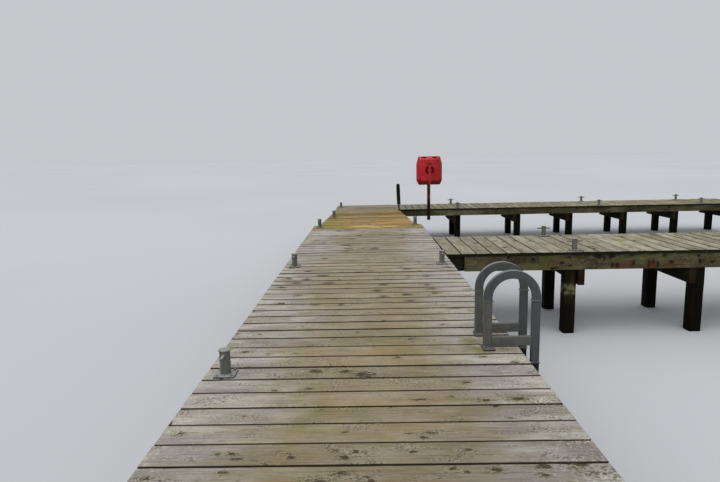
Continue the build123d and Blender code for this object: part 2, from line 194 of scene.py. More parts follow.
def wood(name, colours, knots=0.12, damp=0.0, moss=(112, 112, 76), olive=0.0, specks=0.0,
         rusty=(96, 62, 42), shine=0.08, uneven=0.2, veil=0.0, marks=(), dashes=0.0):
    """Sawn softwood: fine fibres, soft areas, clusters of marks, knots, stains and cracks, with its cracks,
    sides and ends darkened as dirt with painted shade.
    The colours are pale, middle and dark wood, knots and worn wood. marks are the deck's own knots."""
    pale, mid, dark, knot, warm = colours
    s = Shader(name, shine)
    grain = s.attribute("grain")
    tone, walked, crack = s.parts(s.attribute("look"))
    mossy, rust, damp_and_shade = s.parts(s.attribute("stain"))
    fibre = s.noise(s.stretch(grain, (3.4, 80, 80)), detail=7, rough=0.66)
    fine = s.noise(s.stretch(grain, (22, 380, 380)), rough=0.6)
    soft = s.noise(s.stretch(grain, (1.7, 6, 6)))
    mark = s.noise(s.stretch(grain, (58, 84, 84)), rough=0.7)
    cluster = s.noise(s.stretch(grain, (4.2, 9, 9)), detail=3)
    area = s.noise(s.place(), scale=1.4, rough=0.6)
    growth = s.noise(s.place(), scale=5, detail=5, rough=0.65)
    cloud = s.noise(s.place(), scale=1.7, detail=3)
    core, halo, own = knot_shapes(s, grain, knots, marks, dashes)
    colour = s.ramp(soft, [(0.34, dark), (0.5, mid), (0.66, pale)])
    colour = s.mix(s.times(walked, s.span(area, 0.3, 0.6, 1.0, 0.7)), colour, warm)
    colour = s.mix(s.span(growth, 0.5, 0.68, 0.0, olive), colour, moss)
    if veil:
        sheet = s.noise(s.stretch(s.place(), (2.0, 7, 1)), detail=3)
        dry = s.span(walked, 0.1, 0.7, 1.0, 0.35)
        colour = s.mix(s.times(s.span(sheet, 0.5, 0.62, 0.0, veil), dry), colour, (156, 147, 149))
        colour = s.mix(s.times(s.span(sheet, 0.36, 0.46, veil, 0.0), dry), colour, (190, 189, 172))
    level = s.times(s.span(fibre, 0.3, 0.64, 0.74, 1.08), s.span(fine, 0.35, 0.62, 0.88, 1.04))
    level = s.times(level, s.span(tone, 0.0, 1.0, 1 - uneven * 0.6, 1 + uneven * 0.4))
    level = s.times(level, s.span(cloud, 0.35, 0.65, 1 - damp, 1.0))
    colour = s.mix(1.0, colour, s.vector(level, level, level), "MULTIPLY")
    dirty = s.most(s.times(s.span(cluster, 0.5, 0.6), s.span(own, 0.0, 0.6, 0.4, 1.0)), halo)
    colour = s.mix(s.times(halo, 0.4 + olive * 0.4), colour, moss)
    light = pale_specks(s, mark, cluster, dirty, walked)
    if veil:
        crumbs = s.times(s.fall(mark, 0.4, 0.5), s.fall(walked, 0.0, 0.05))
        light = s.most(light, s.times(crumbs, s.span(sheet, 0.42, 0.55, 1.0, 0.1)))
    colour = s.mix(s.times(light, specks), colour, (216, 214, 200))
    colour = s.mix(s.times(s.times(dirty, s.span(mark, 0.5, 0.56)), 0.6), colour, knot)
    colour = s.mix(s.times(core, 0.85), colour, knot)
    colour = s.mix(s.times(mossy, s.span(growth, 0.38, 0.6)), colour, moss)
    colour = s.mix(s.times(rust, s.span(soft, 0.3, 0.55, 0.5, 0.95)), colour, rusty)
    # Damp darkening, with painted shade under the decks and in recesses.
    colour = s.mix(s.times(damp_and_shade, s.span(soft, 0.2, 0.6, 1.0, 0.88)), colour, (12, 11, 8))
    # Dark in the cracks, on the sides and on the ends: dirt with painted shade in these hollows and gaps.
    colour = s.mix(crack, colour, (42, 27, 12))
    colour = s.mix(s.span(crack, 0.975, 0.995), colour, (20, 19, 9))
    normal = s.bump(fine, 0.25, 0.0006, Normal=s.bump(fibre, 0.3, 0.0015))
    rough = s.span(s.plus(damp_and_shade, s.times(fine, 0.3)), 0.1, 1.2, 0.9, 0.6)
    return s.finish(colour, rough, Normal=s.bump(core, 0.4, 0.0015, Normal=normal))


def knot_shapes(s, grain, knots, marks, dashes):
    """Cores of the knots, the halos round them, and a random value for each."""
    u, v, w = s.parts(grain)
    away, cell = s.cells(s.vector(s.times(u, 4.6), s.times(s.plus(v, w), 7.4)))
    pick, size, own = s.parts(cell)
    kept = s.span(pick, 1 - knots - 0.02, 1 - knots)
    wobble = s.noise(s.stretch(grain, (24, 46, 46)), detail=3, rough=0.6)
    away = s.plus(away, s.span(wobble, 0.3, 0.7, 0.08, -0.08))
    away = s.calc("DIVIDE", away, s.span(s.times(size, size), 0.0, 1.0, 0.55, 1.9))
    core = s.times(s.fall(away, 0.07, 0.17), kept)
    halo = s.times(s.fall(away, 0.14, 0.5), kept)
    if marks:
        near = s.plus(nearest_mark(s, marks), s.span(wobble, 0.3, 0.7, 0.6, -0.6))
        core = s.most(core, s.fall(near, 0.45, 1.15))
        halo = s.most(halo, s.span(near, 0.9, 2.6, 0.8, 0.0))
    if dashes:
        dash = s.noise(s.stretch(grain, (15, 75, 75)), detail=3, rough=0.6)
        core = s.most(core, s.span(dash, 0.655, 0.72, 0.0, dashes))
    return core, halo, own


def nearest_mark(s, marks):
    """How far the nearest of the given marks is, in its own radii."""
    nearest = None
    for x, y, half_x, half_y in marks:
        shift = (-(MID_X + x) / half_x, -(START_Y + y) / half_y, 0)
        values = {"Vector": s.place(), "Scale": (1 / half_x, 1 / half_y, 0), "Location": shift}
        away = s.add("VectorMath", {0: s.add("Mapping", values)[0]}, operation="LENGTH")["Value"]
        nearest = away if nearest is None else s.calc("MINIMUM", nearest, away)
    return nearest


def pale_specks(s, mark, cluster, dirty, walked):
    """Pale rims of the marks where it is dirty, and flecks where it is clear or nobody walks."""
    rim = s.times(s.span(mark, 0.435, 0.455), s.fall(mark, 0.475, 0.495))
    clear = s.most(s.fall(cluster, 0.42, 0.52), s.fall(walked, 0.0, 0.12))
    fleck = s.times(s.fall(mark, 0.34, 0.42), clear)
    return s.most(s.times(s.times(rim, dirty), 0.6), s.times(fleck, s.span(walked, 0.0, 0.6, 1.0, 0.25)))


def steel(name, base, light, dark, painted_top_light, gloss, rust, wet_under=None, plates=True):
    """Dull galvanised steel: crystals, streaks, dirt and a little rust. Lighter where it faces up, as a
    painted highlight, darker on the edges of the plates on the deck with dirt and painted shade, and
    dark with damp under a given height."""
    s = Shader(name, 0.2)
    place = s.place()
    spangle = s.parts(s.cells(place, 140, "3D")[1])[0]
    up = s.up()
    height = s.parts(place)[2]
    streak = s.noise(s.stretch(place, (60, 60, 9)))
    cloud = s.noise(place, scale=14, detail=5, rough=0.6)
    spots = s.noise(place, scale=75, detail=3)
    colour = s.mix(s.span(spangle, 0.2, 0.9, 0.0, 0.3), base, light)
    colour = s.mix(s.span(streak, 0.48, 0.68, 0.0, 0.5), colour, dark)
    colour = s.mix(s.span(cloud, 0.5, 0.72, 0.0, 0.6), colour, dark)
    # Painted highlight: lighter where the surface faces up.
    colour = s.mix(s.span(up, 0.35, 0.85, 0.0, 0.8), colour, painted_top_light)
    spotted = s.times(s.span(spots, 0.62, 0.7), s.span(cloud, 0.4, 0.6, 0.0, rust))
    colour = s.mix(spotted, colour, (96, 58, 34))
    if plates:
        # Dark sides of the plates on the deck: dirt, with painted shade where they meet the deck.
        over_deck = s.calc("SUBTRACT", height, DECK_Z)
        plate_edge_dirt_and_shade = s.times(s.fall(over_deck, 0.009, 0.011), s.span(over_deck, -0.01, 0.0))
        colour = s.mix(s.times(plate_edge_dirt_and_shade, s.span(up, 0.5, 0.9, 0.9, 0.0)), colour, (28, 26, 22))
    if wet_under is not None:
        uneven = s.plus(height, s.span(cloud, 0.3, 0.7, -0.01, 0.01))
        colour = s.mix(s.span(uneven, wet_under - 0.01, wet_under + 0.01, 0.92, 0.0), colour, (16, 16, 14))
    rough = s.span(cloud, 0.3, 0.7, gloss, gloss + 0.25)
    return s.finish(colour, rough, Normal=s.bump(spots, 0.15, 0.0006))


def plastic(name, base, faded_and_lit, dirt_and_shade, gloss, painted_top_light, shine, dull_side=None):
    """Moulded plastic, faded in patches and dirty in streaks, lighter towards its faded colour where it
    faces up as a painted highlight, and darker where it faces down as painted shade. dull_side is the
    place across from which it gets browner."""
    s = Shader(name, shine)
    place = s.place()
    up = s.up()
    cloud = s.noise(place, scale=6, detail=5, rough=0.6)
    streak = s.noise(s.stretch(place, (45, 45, 3)))
    colour = s.mix(s.span(cloud, 0.45, 0.7, 0.0, 0.3), base, faded_and_lit)
    # Painted highlight: towards the faded colour where it faces up.
    colour = s.mix(s.span(up, 0.15, 0.7, 0.0, painted_top_light), colour, faded_and_lit)
    # Painted shade: towards the dirt colour where it faces down.
    colour = s.mix(s.span(up, -0.5, -0.1, 0.75, 0.0), colour, dirt_and_shade)
    colour = s.mix(s.span(streak, 0.52, 0.72, 0.0, 0.4), colour, dirt_and_shade)
    if dull_side is not None:
        side = s.calc("SUBTRACT", s.parts(place)[0], dull_side)
        run = s.times(s.span(s.calc("ABSOLUTE", side), 0.02, 0.09, 0.4, 0.0), s.span(cloud, 0.4, 0.6))
        colour = s.mix(s.span(side, -0.1, 0.25, 0.0, 0.35), colour, dirt_and_shade)
        colour = s.mix(run, colour, (118, 62, 42))
    peel = s.noise(place, scale=160, detail=2)
    rough = s.span(cloud, 0.3, 0.7, gloss, gloss + 0.2)
    return s.finish(colour, rough, Normal=s.bump(peel, 0.12, 0.0005))


# Knots on the first boards: x from the walkway's middle, y from its first board, half sizes
KNOTS = [(-0.01, 0.51, 0.036, 0.03), (-0.82, 0.76, 0.022, 0.014), (-0.7, 0.71, 0.026, 0.014),
         (-0.42, 0.72, 0.026, 0.016), (-0.14, 0.71, 0.028, 0.024), (-0.74, 0.585, 0.028, 0.012),
         (0.33, 0.95, 0.03, 0.018), (0.22, 0.95, 0.022, 0.016), (0.29, 0.9, 0.02, 0.016),
         (0.22, 0.76, 0.02, 0.014), (0.52, 0.77, 0.02, 0.012), (0.86, 0.61, 0.04, 0.024),
         (0.99, 0.63, 0.022, 0.01), (0.4, 0.605, 0.03, 0.014), (0.47, 0.57, 0.016, 0.01),
         (-0.16, 0.57, 0.05, 0.02), (-0.15, 0.97, 0.022, 0.01), (-0.77, 1.18, 0.016, 0.01),
         (0.32, 1.37, 0.04, 0.014), (0.65, 1.62, 0.03, 0.02), (-0.05, 1.78, 0.08, 0.05),
         (0.82, 1.11, 0.016, 0.01)]
WEATHERED = wood("weathered_boards",
                 [(194, 186, 178), (174, 165, 154), (150, 140, 124), (62, 45, 30), (147, 128, 86)],
                 knots=0.1, olive=0.4, moss=(126, 121, 78), specks=0.65, shine=0.25, uneven=0.3,
                 rusty=(74, 42, 34), veil=0.5, marks=KNOTS, dashes=0.7)
FINGER_WOOD = wood("finger_boards",
                   [(192, 187, 172), (173, 166, 147), (146, 135, 112), (58, 43, 28), (150, 144, 104)],
                   knots=0.32, olive=0.35, moss=(136, 134, 86), specks=0.5, rusty=(92, 62, 44),
                   shine=0.2, uneven=0.3, dashes=0.7)
FRESH = wood("fresh_boards", [(206, 178, 118), (176, 146, 86), (140, 110, 60), (80, 54, 28), (152, 144, 78)],
             knots=0.2, olive=0.1, moss=(134, 124, 102), rusty=(184, 146, 90), shine=0.2, uneven=0.6,
             dashes=0.6)
EDGE = wood("edge_timber", [(112, 105, 80), (90, 82, 56), (64, 54, 36), (20, 16, 11), (74, 72, 44)],
            knots=0.16, damp=0.2, moss=(80, 84, 40), olive=0.5, specks=0.25, rusty=(84, 44, 28), dashes=0.6)
FAR_EDGE = wood("far_edge_timber", [(134, 126, 100), (94, 86, 62), (58, 50, 34), (20, 16, 11), (74, 72, 44)],
                knots=0.2, damp=0.3, moss=(80, 84, 40), olive=0.5, specks=0.3, dashes=0.6)
DARK_EDGE = wood("dark_edge_timber", [(112, 105, 84), (80, 73, 56), (48, 42, 31), (18, 15, 10), (46, 46, 30)],
                 knots=0.16, damp=0.35, moss=(66, 68, 34), olive=0.5)
UNDER = wood("under_timber", [(46, 41, 31), (32, 29, 22), (20, 18, 14), (12, 11, 9), (30, 30, 22)],
             damp=0.3, moss=(34, 38, 22), olive=0.3)
# Piles: dark wet timber, darker still as painted shade under the decks.
PILES = wood("wet_piles", [(70, 60, 42), (46, 39, 27), (24, 20, 14), (10, 9, 7), (32, 34, 24)],
             damp=0.4, moss=(34, 38, 20), olive=0.3, rusty=(116, 110, 82), shine=0.03)
POST = wood("post_timber", [(140, 84, 52), (112, 60, 36), (70, 36, 22), (40, 22, 14), (96, 78, 44)],
            damp=0.2, moss=(92, 84, 46))
GALVANISED = steel("galvanised_steel", (101, 101, 93), (125, 125, 115), (70, 67, 55), (167, 168, 163),
                   gloss=0.5, rust=0.5)
STEM = steel("stem_steel", (58, 58, 56), (72, 72, 70), (40, 38, 34), (96, 95, 90), gloss=0.5, rust=0.6)
LADDER = steel("ladder_steel", (76, 80, 79), (86, 90, 88), (64, 66, 64), (146, 150, 146), gloss=0.55,
               rust=0.1, wet_under=DECK_Z - 0.14, plates=False)
LADDER_LEGS = steel("ladder_leg_steel", (90, 90, 86), (98, 98, 94), (76, 75, 68), (108, 110, 106),
                    gloss=0.55, rust=0.15)
RED = plastic("red_moulding", (180, 33, 39), (218, 90, 96), (98, 22, 20), gloss=0.4, painted_top_light=0.65, shine=0.15,
              dull_side=HOUSE_X)
# Darker red for the sunk faces: painted shade in the recesses.
RECESS_SHADE_RED = plastic("sunk_red_painted_shade", (100, 3, 2), (104, 8, 6), (70, 4, 3), gloss=0.6, painted_top_light=0.1, shine=0.1)
BLACK = plastic("black_plastic", (18, 18, 20), (36, 36, 38), (12, 12, 12), gloss=0.6, painted_top_light=0.2, shine=0.15)
GREEN = plastic("green_plastic", (22, 42, 34), (36, 56, 44), (16, 22, 18), gloss=0.6, painted_top_light=0.2, shine=0.15)


def end_piece(name, bm, material, nodes, angle=38, inside=()):
    """Turn a finished mesh into a piece that stands for its CAD nodes. inside is for materials
    that only its sunk faces have."""
    bmesh.ops.recalc_face_normals(bm, faces=bm.faces)
    mesh = bpy.data.meshes.new(name)
    bm.to_mesh(mesh)
    bm.free()
    mesh.shade_smooth()
    mesh.set_sharp_from_angle(angle=math.radians(angle))
    piece = bpy.data.objects.new(name, mesh)
    bpy.context.scene.collection.objects.link(piece)
    for each in (material, *inside):
        mesh.materials.append(each)
    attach(piece, "root")
    if nodes:
        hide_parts(*nodes)
    return piece


def worn(node, bm, material):
    """The piece that stands for one CAD node and bears its name."""
    return end_piece(node + "_worn", bm, material, [node])


def islands(node):
    """Corner points of each separate solid of a CAD node."""
    bm = bmesh.new()
    bm.from_mesh(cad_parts[node].data)
    bmesh.ops.remove_doubles(bm, verts=bm.verts, dist=WELD)
    groups = []
    seen = set()
    for first in bm.verts:
        if first in seen:
            continue
        seen.add(first)
        stack = [first]
        group = []
        while stack:
            vert = stack.pop()
            group.append(vert.co.copy())
            for edge in vert.link_edges:
                other = edge.other_vert(vert)
                if other not in seen:
                    seen.add(other)
                    stack.append(other)
        groups.append(group)
    bm.free()
    return sorted(groups, key=lambda g: (round(g[0].y, 1), round(g[0].x, 1)))


def plain_box(points, low=0, high=0):
    """Two corners of a solid, with the ramp's slope taken out of its foot and its top."""
    xs = [p.x for p in points]
    ys = [p.y for p in points]
    mid = (min(ys) + max(ys)) / 2
    feet = [p.z + (p.y - mid) * SLOPE * low for p in points]
    tops = [p.z + (p.y - mid) * SLOPE * high for p in points]
    return Vector((min(xs), min(ys), min(feet))), Vector((max(xs), max(ys), max(tops)))


def join_rings(bm, rings, closed=False):
    """Faces from each ring to the next, and two end caps unless the rings close on themselves."""
    after = rings[1:] + rings[:1] if closed else rings[1:]
    for one, two in zip(rings, after):
        for i in range(len(one)):
            j = (i + 1) % len(one)
            bm.faces.new((one[i], one[j], two[j], two[i]))
    if not closed:
        bm.faces.new(list(reversed(rings[0])))
        bm.faces.new(rings[-1])


# Sides of a timber's cross-section, in the order in which its points go round
TOP, RIGHT, UNDERSIDE, LEFT = range(4)
NORMALS = [(0, 1), (1, 0), (0, -1), (-1, 0)]


def side_points(length, step, cracks):
    """Places along one side of a cross-section: (place, crack or None, part of the crack)."""
    count = max(1, round(length / step))
    spots = [(length * i / count, None, 0) for i in range(1, count)]
    for crack in cracks:
        place = crack["at"] * length
        w = crack["width"]
        spots = [s for s in spots if abs(s[0] - place) > 1.6 * w]
        spots += [(place - w, crack, -1), (place, crack, 0), (place + w, crack, 1)]
    return sorted(spots, key=lambda s: s[0])


def section(a, c, kind, cracks):
    """Points round a timber's cross-section: (v, w, normal v, normal w, crack, part, side)."""
    out = []
    corner = kind["corner"]
    for side, (nv, nw) in enumerate(NORMALS):
        tv, tw = nw, -nv
        half, reach = (a, c) if nw else (c, a)
        length = 2 * (half - corner)
        mine = [k for k in cracks if k["side"] == side]
        step = kind["under"] if side == UNDERSIDE else kind["step"]
        for place, crack, part in [(0, None, 0)] + side_points(length, step, mine) + [(length, None, 0)]:
            along = place - length / 2
            out.append((nv * reach + tv * along, nw * reach + tw * along, nv, nw, crack, part, side))
        mv = (nv + tv) * math.sqrt(0.5)
        mw = (nw + tw) * math.sqrt(0.5)
        v = (nv + tv) * (a - corner) + mv * corner
        w = (nw + tw) * (c - corner) + mw * corner
        out.append((v, w, mv, mw, None, 0, side))
    return out


def random_cracks(rng, length, kind):
    """Cracks along the grain on a timber's open sides, some of them from an end."""
    out = []
    for _ in range(round(kind["cracks"] * rng.uniform(0.4, 1.6))):
        size = rng.uniform(0.12, 0.5) * min(length, 2.2)
        start = rng.uniform(-0.2, 0.9) * length
        side = rng.choice(kind["sides"])
        crack = {"side": side, "at": rng.uniform(0.14, 0.86), "from": start, "to": start + size,
                 "depth": kind["depth"] * rng.uniform(0.5, 1), "width": kind["width"] * rng.uniform(0.6, 1),
                 "seed": rng.uniform(0, 90)}
        near = [k for k in out if k["side"] == side and abs(k["at"] - crack["at"]) < 0.12]
        if not near:
            out.append(crack)
    return out


def opened(crack, u):
    """How far a crack is open at a place along the timber, 0 to 1."""
    t = (u - crack["from"]) / (crack["to"] - crack["from"])
    return math.sin(math.pi * t) ** 0.6 if 0 < t < 1 else 0.0


def dent_at(kind, u, v, w, side, on_corner, seed, cup):
    """How far the surface is worn in. cup is the hollow or the hump across the top. The underside
    stays as sawn."""
    if side == UNDERSIDE and not on_corner:
        return 0
    here = Vector((u * 2.5, v * 12, w * 12)) + seed
    dent = kind["wear"] * (0.5 + 0.5 * wave(here) + 0.8 * max(0, wave(here * 4.1)))
    if on_corner:
        dent += kind["corner"] * 0.7 * max(0, wave(Vector((u * 7, v * 9, w * 9)) - seed))
    elif side == TOP:
        dent += cup
    return dent


def grime_and_shade_at(kind, opening, side, on_corner, at_end, dirt_and_shade):
    """How dark the wood is painted: dirt with painted shade in the cracks, on all sides but the top, and on
    the ends.
    """
    grime_and_shade = opening
    if side != TOP:
        grime_and_shade = max(grime_and_shade, kind["grime_and_shade"] * dirt_and_shade)
    elif on_corner:
        grime_and_shade = max(grime_and_shade, kind["grime_and_shade"] * 0.1)
    return max(grime_and_shade, kind["ends"]) if at_end else grime_and_shade


def timber(bm, box, rng, kind, axis, up, low=0, high=0, stain=None, walked=None):
    """One sawn timber in a box: worn corners, uneven faces, cracks and trimmed ends.
    stain and walked are functions of a point, for what the wood's shader mixes in."""
    lo, hi = box
    across = 3 - axis - up
    size = hi - lo
    centre = (lo + hi) / 2
    start = -size[axis] / 2 + rng.uniform(0, kind["trim"])
    stop = size[axis] / 2 - rng.uniform(0, kind["trim"])
    length = stop - start
    a = size[across] / 2 - kind["narrow"] * rng.random() ** 4
    c = size[up] / 2
    far = smooth(*kind["fade"], centre.y) if "fade" in kind else 0
    if "fade" in kind and lo.y > START_Y + 0.1:
        a += kind["swell"] * (1 - 2.1 * far)
    dirt_and_shade = rng.uniform(0.85, 1)
    shift = rng.uniform(-1, 1) * (size[across] / 2 - a)
    cracks = random_cracks(rng, length, kind)
    ring = section(a, c, kind, cracks)
    seed = Vector([rng.uniform(-40, 40) for _ in range(3)])
    tone = rng.random()
    if "fade" in kind:
        tone = 0.22 + 0.58 * tone + 0.2 * far
    lean = kind["tilt"] * rng.random()
    lean_to = rng.choice((-1, 1))
    cup = rng.uniform(-1, 1) * kind["cup"]
    layers = bm.verts.layers.float_vector
    grain, look, marks = (layers.get(name) or layers.new(name) for name in ("grain", "look", "stain"))
    count = max(3, round(length / kind["station"]))
    ease = kind["corner"] * 0.8
    stations = [0, ease] + [length * i / count for i in range(1, count)] + [length - ease, length]
    rings = []
    for u in stations:
        row = []
        at_end = u in (0, length)
        for v, w, nv, nw, crack, part, side in ring:
            on_corner = abs(nv) + abs(nw) > 1.2
            hollow = abs(cup) * ((v / a) ** 2 if cup > 0 else 1 - (v / a) ** 2)
            dent = dent_at(kind, u, v, w, side, on_corner, seed, hollow) + (ease if at_end else 0)
            slide = 0.0
            opening = 0.0
            if crack:
                slide = 0.004 * wave((u * 6, crack["seed"], 0))
            if crack and part == 0:
                opening = opened(crack, u)
                dent += crack["depth"] * opening
            point = Vector((0, 0, 0))
            point[axis] = centre[axis] + start + u
            point[across] = centre[across] + shift + v - nv * dent + nw * slide
            point[up] = centre[up] + w - nw * dent - nv * slide
            point[up] -= lean * (0.5 + 0.5 * lean_to * v / a) * max(0, w / c)
            if low or high:
                t = min(1, max(0, (point.z - lo.z) / size.z))
                point.z -= (point.y - centre.y) * SLOPE * (low + (high - low) * t)
            vert = bm.verts.new(point)
            vert[grain] = seed + Vector((u, v, w))
            grime_and_shade = grime_and_shade_at(kind, opening, side, on_corner, at_end, dirt_and_shade)
            vert[look] = Vector((tone, walked(point) if walked else 0.0, grime_and_shade))
            vert[marks] = Vector(stain(point)) if stain else Vector((0, 0, 0))
            row.append(vert)
        rings.append(row)
    join_rings(bm, rings)


# Kinds of timber. station, step and under are how close the mesh's points are: along it, round it
# and on its underside. The sides are those that crack, and depth and width are the cracks' own.
# fade and swell make the walkway's first boards wider and its far ones narrower.
# The sides and ends are painted darker, as dirt with painted shade in the gaps and on the ends.
BOARD = {"station": 0.05, "step": 0.02, "under": 0.2, "corner": 0.003, "wear": 0.0012, "cup": 0.0012,
         "tilt": 0.004, "trim": 0.004, "narrow": 0.006, "cracks": 3, "sides": [TOP], "depth": 0.012,
         "width": 0.0025, "grime_and_shade": 0.97, "ends": 1.0}
WALK_BOARD = dict(BOARD, narrow=0.004, fade=(START_Y + 0.3, START_Y + 3), swell=0.0028)
FRESH_BOARD = dict(BOARD, station=0.06, step=0.025, narrow=0.001, grime_and_shade=0.8)
FAR_BOARD = dict(BOARD, station=0.12, step=0.035, cracks=2)
BEAM = dict(BOARD, station=0.16, step=0.05, corner=0.005, wear=0.0015, cup=0.0, tilt=0.0, narrow=0.0005,
            cracks=2, sides=[RIGHT, LEFT], width=0.004, grime_and_shade=0.0, ends=0.5)
CRACKED_BEAM = dict(BEAM, cracks=6)
SHOWN_BEAM = dict(BEAM, station=0.022, step=0.016, cracks=14)
PILE = dict(BEAM, station=0.05, step=0.045, under=0.045, corner=0.008, wear=0.003, trim=0.0, cracks=5,
            sides=[TOP, RIGHT, UNDERSIDE, LEFT], depth=0.02, ends=0.3)
SHOWN_PILE = dict(PILE, station=0.025, step=0.022, cracks=8)
POST_TIMBER = dict(PILE, station=0.02, step=0.02, under=0.02, corner=0.005, wear=0.0012, width=0.002,
                   depth=0.008)

# Where green growth sits on the boards, strong and faint: x from the walkway's middle, y from its
# first board, radius
MOSS_SPOTS = [(0.9, 2.28, 0.16), (0.9, 2.55, 0.16), (1.08, 2.30, 0.14), (0.84, 2.42, 0.14), (1.1, 3.3, 0.25)]
FAINT_MOSS = [(0.1, 2.6, 0.5), (0.5, 4.2, 0.5), (-0.3, 1.2, 0.5)]
# What the stains say for timber that is dark all over: damp, with painted shade in a recess
DAMP_AND_SHADE_ALL_OVER = (0, 0, 0.9)
# Where the lower deck is damp: y from the walkway's first board
LOWER_BAND = 16.72
# Marks further out: x from the walkway's middle, y from its first board, half length, redness
DECK_MARKS = [(-0.78, 4.81, 0.05, 0.1), (-0.6, 5.02, 0.08, 0.8), (-0.29, 8.12, 0.09, 0.3),
              (-0.18, 8.5, 0.06, 0.7), (-0.36, 7.42, 0.09, 0.8), (-0.34, 7.08, 0.07, 0.2),
              (-0.36, 6.8, 0.06, 0.6), (0.1, 6.99, 0.1, 0.2), (0.29, 7.34, 0.07, 0.3),
              (-0.67, 6.2, 0.06, 0.8), (-0.12, 5.2, 0.06, 0.6), (0.18, 4.48, 0.05, 0.2),
              (0.1, 4.18, 0.05, 0.2), (0.16, 3.93, 0.06, 0.1), (0.42, 3.99, 0.045, 0.0),
              (0.44, 3.73, 0.045, 0.1), (0.74, 4.89, 0.05, 0.6), (0.52, 5.36, 0.05, 0.2),
              (-0.49, 4.6, 0.08, 0.7), (0.7, 4.44, 0.04, 0.1), (-0.57, 3.64, 0.04, 0.2),
              (-0.3, 3.62, 0.04, 0.2), (-0.61, 9.21, 0.07, 0.1), (-0.38, 9.33, 0.12, 0.1),
              (0.3, 8.6, 0.06, 0.3), (-0.1, 9.0, 0.05, 0.5), (0.62, 8.1, 0.06, 0.5),
              (-0.8, 7.7, 0.05, 0.4)]
# The same on the near finger, and its patches of yellow growth with their radius
FINGER_MARKS = [(1.87, 7.38, 0.06, 0.3), (2.0, 7.02, 0.07, 0.3), (2.24, 7.56, 0.06, 0.2),
                (2.24, 6.93, 0.06, 0.5), (2.85, 7.49, 0.08, 0.3), (3.32, 7.33, 0.05, 0.2),
                (3.63, 6.83, 0.07, 0.3), (3.9, 7.26, 0.05, 0.2), (5.28, 8.06, 0.07, 0.2),
                (5.59, 7.7, 0.05, 0.1), (2.6, 7.9, 0.05, 0.4), (4.2, 7.7, 0.05, 0.3),
                (4.5, 6.8, 0.05, 0.4), (6.3, 7.2, 0.06, 0.3), (7.2, 7.6, 0.06, 0.2),
                (8.4, 7.0, 0.07, 0.3)]
GROWTH_SPOTS = [(4.38, 7.42, 0.25), (4.85, 7.71, 0.3), (5.05, 7.5, 0.3), (5.3, 7.4, 0.25),
                (5.6, 7.2, 0.2), (7.0, 7.5, 0.3), (9.2, 7.1, 0.3)]
# Rusty patches on the near finger's beam: x from the walkway's middle, half width, strength
RUST_PATCHES = [(3.93, 0.2, 0.45), (4.1, 0.04, 0.9), (4.4, 0.1, 0.95), (4.75, 0.2, 0.4), (2.9, 0.15, 0.3),
                (6.2, 0.12, 0.6), (7.5, 0.2, 0.5), (9.4, 0.15, 0.6)]
# Dark spots on that beam: x from the walkway's middle, height over its foot, half width, half height
DARK_SPOTS = [(3.58, 0.21, 0.06, 0.04), (3.66, 0.18, 0.03, 0.05), (3.78, 0.205, 0.05, 0.045),
              (3.8, 0.06, 0.035, 0.045), (3.88, 0.05, 0.03, 0.045), (4.13, 0.08, 0.022, 0.07),
              (4.37, 0.08, 0.022, 0.075), (4.43, 0.11, 0.02, 0.05), (4.5, 0.08, 0.022, 0.075),
              (4.72, 0.1, 0.045, 0.03), (4.6, 0.2, 0.04, 0.025), (5.15, 0.105, 0.03, 0.045),
              (5.12, 0.19, 0.03, 0.03), (5.35, 0.09, 0.04, 0.03), (3.02, 0.117, 0.05, 0.03),
              (3.15, 0.067, 0.05, 0.025), (3.12, 0.2, 0.04, 0.025), (2.18, 0.215, 0.05, 0.03),
              (2.58, 0.182, 0.03, 0.03), (2.9, 0.03, 0.06, 0.02), (4.1, 0.22, 0.05, 0.02),
              (5.6, 0.15, 0.04, 0.03)]
# Dark knots in the fresh boards: x from the walkway's middle, y from the ramp's start, half length
FRESH_KNOTS = [(-0.38, 0.72, 0.06), (-0.36, 0.5, 0.05), (-0.21, 0.25, 0.05), (0.12, 1.2, 0.06),
               (0.05, 0.0, 0.05)]


def on_deck(p):
    """A point's x from the walkway's middle and y from its first board."""
    return p.x - MID_X, p.y - START_Y


def grown(x, y, spots, wander=0.0):
    """How much growth the spots give a place of a deck."""
    away = [(r, math.hypot(x - at_x, y - at_y) + wander) for at_x, at_y, r in spots]
    return max(smooth(r, r * 0.3, d) for r, d in away)


def marked(x, y, p, marks):
    """How reddish and how dark the marks make a place of a deck."""
    rust = 0.0
    dark = 0.0
    wander = 0.4 * wave(p * 9)
    for at_x, at_y, half, red in marks:
        away = math.hypot((x - at_x) / half, (y - at_y) / max(0.05, half * 0.7)) + wander
        amount = smooth(1.3, 0.5, away)
        rust = max(rust, amount * red)
        dark = max(dark, amount * (1 - red) * 0.9)
    return rust, dark


def board_stain(p):
    """Moss near the ladder's feet and in slow patches, and the dark and reddish marks."""
    x, y = on_deck(p)
    moss = max(grown(x, y, MOSS_SPOTS), 0.35 * grown(x, y, FAINT_MOSS))
    rust, dark = marked(x, y, p, DECK_MARKS)
    damp = 0.1 * smooth(0.1, 0.6, x + 0.3 * wave(p * 2)) * smooth(1.8, 1.0, y)
    return (moss, rust, max(dark, damp))


def lower_stain(p):
    """A damp dark band across the lower deck."""
    x, y = on_deck(p)
    away = abs(y - LOWER_BAND + 0.1 * wave(p * 2))
    return (0.2, 0, 0.3 * smooth(0.3, 0.1, away) * smooth(-0.7, -0.1, x))


def finger_stain(p):
    """Yellow growth in patches and dark marks on the near finger."""
    x, y = on_deck(p)
    rust, dark = marked(x, y, p, FINGER_MARKS)
    growth = 0.8 * grown(x, y, GROWTH_SPOTS, 0.15 * wave(p * 5))
    return (growth, rust, max(dark, 0.05 * smooth(3.5, 6, x)))


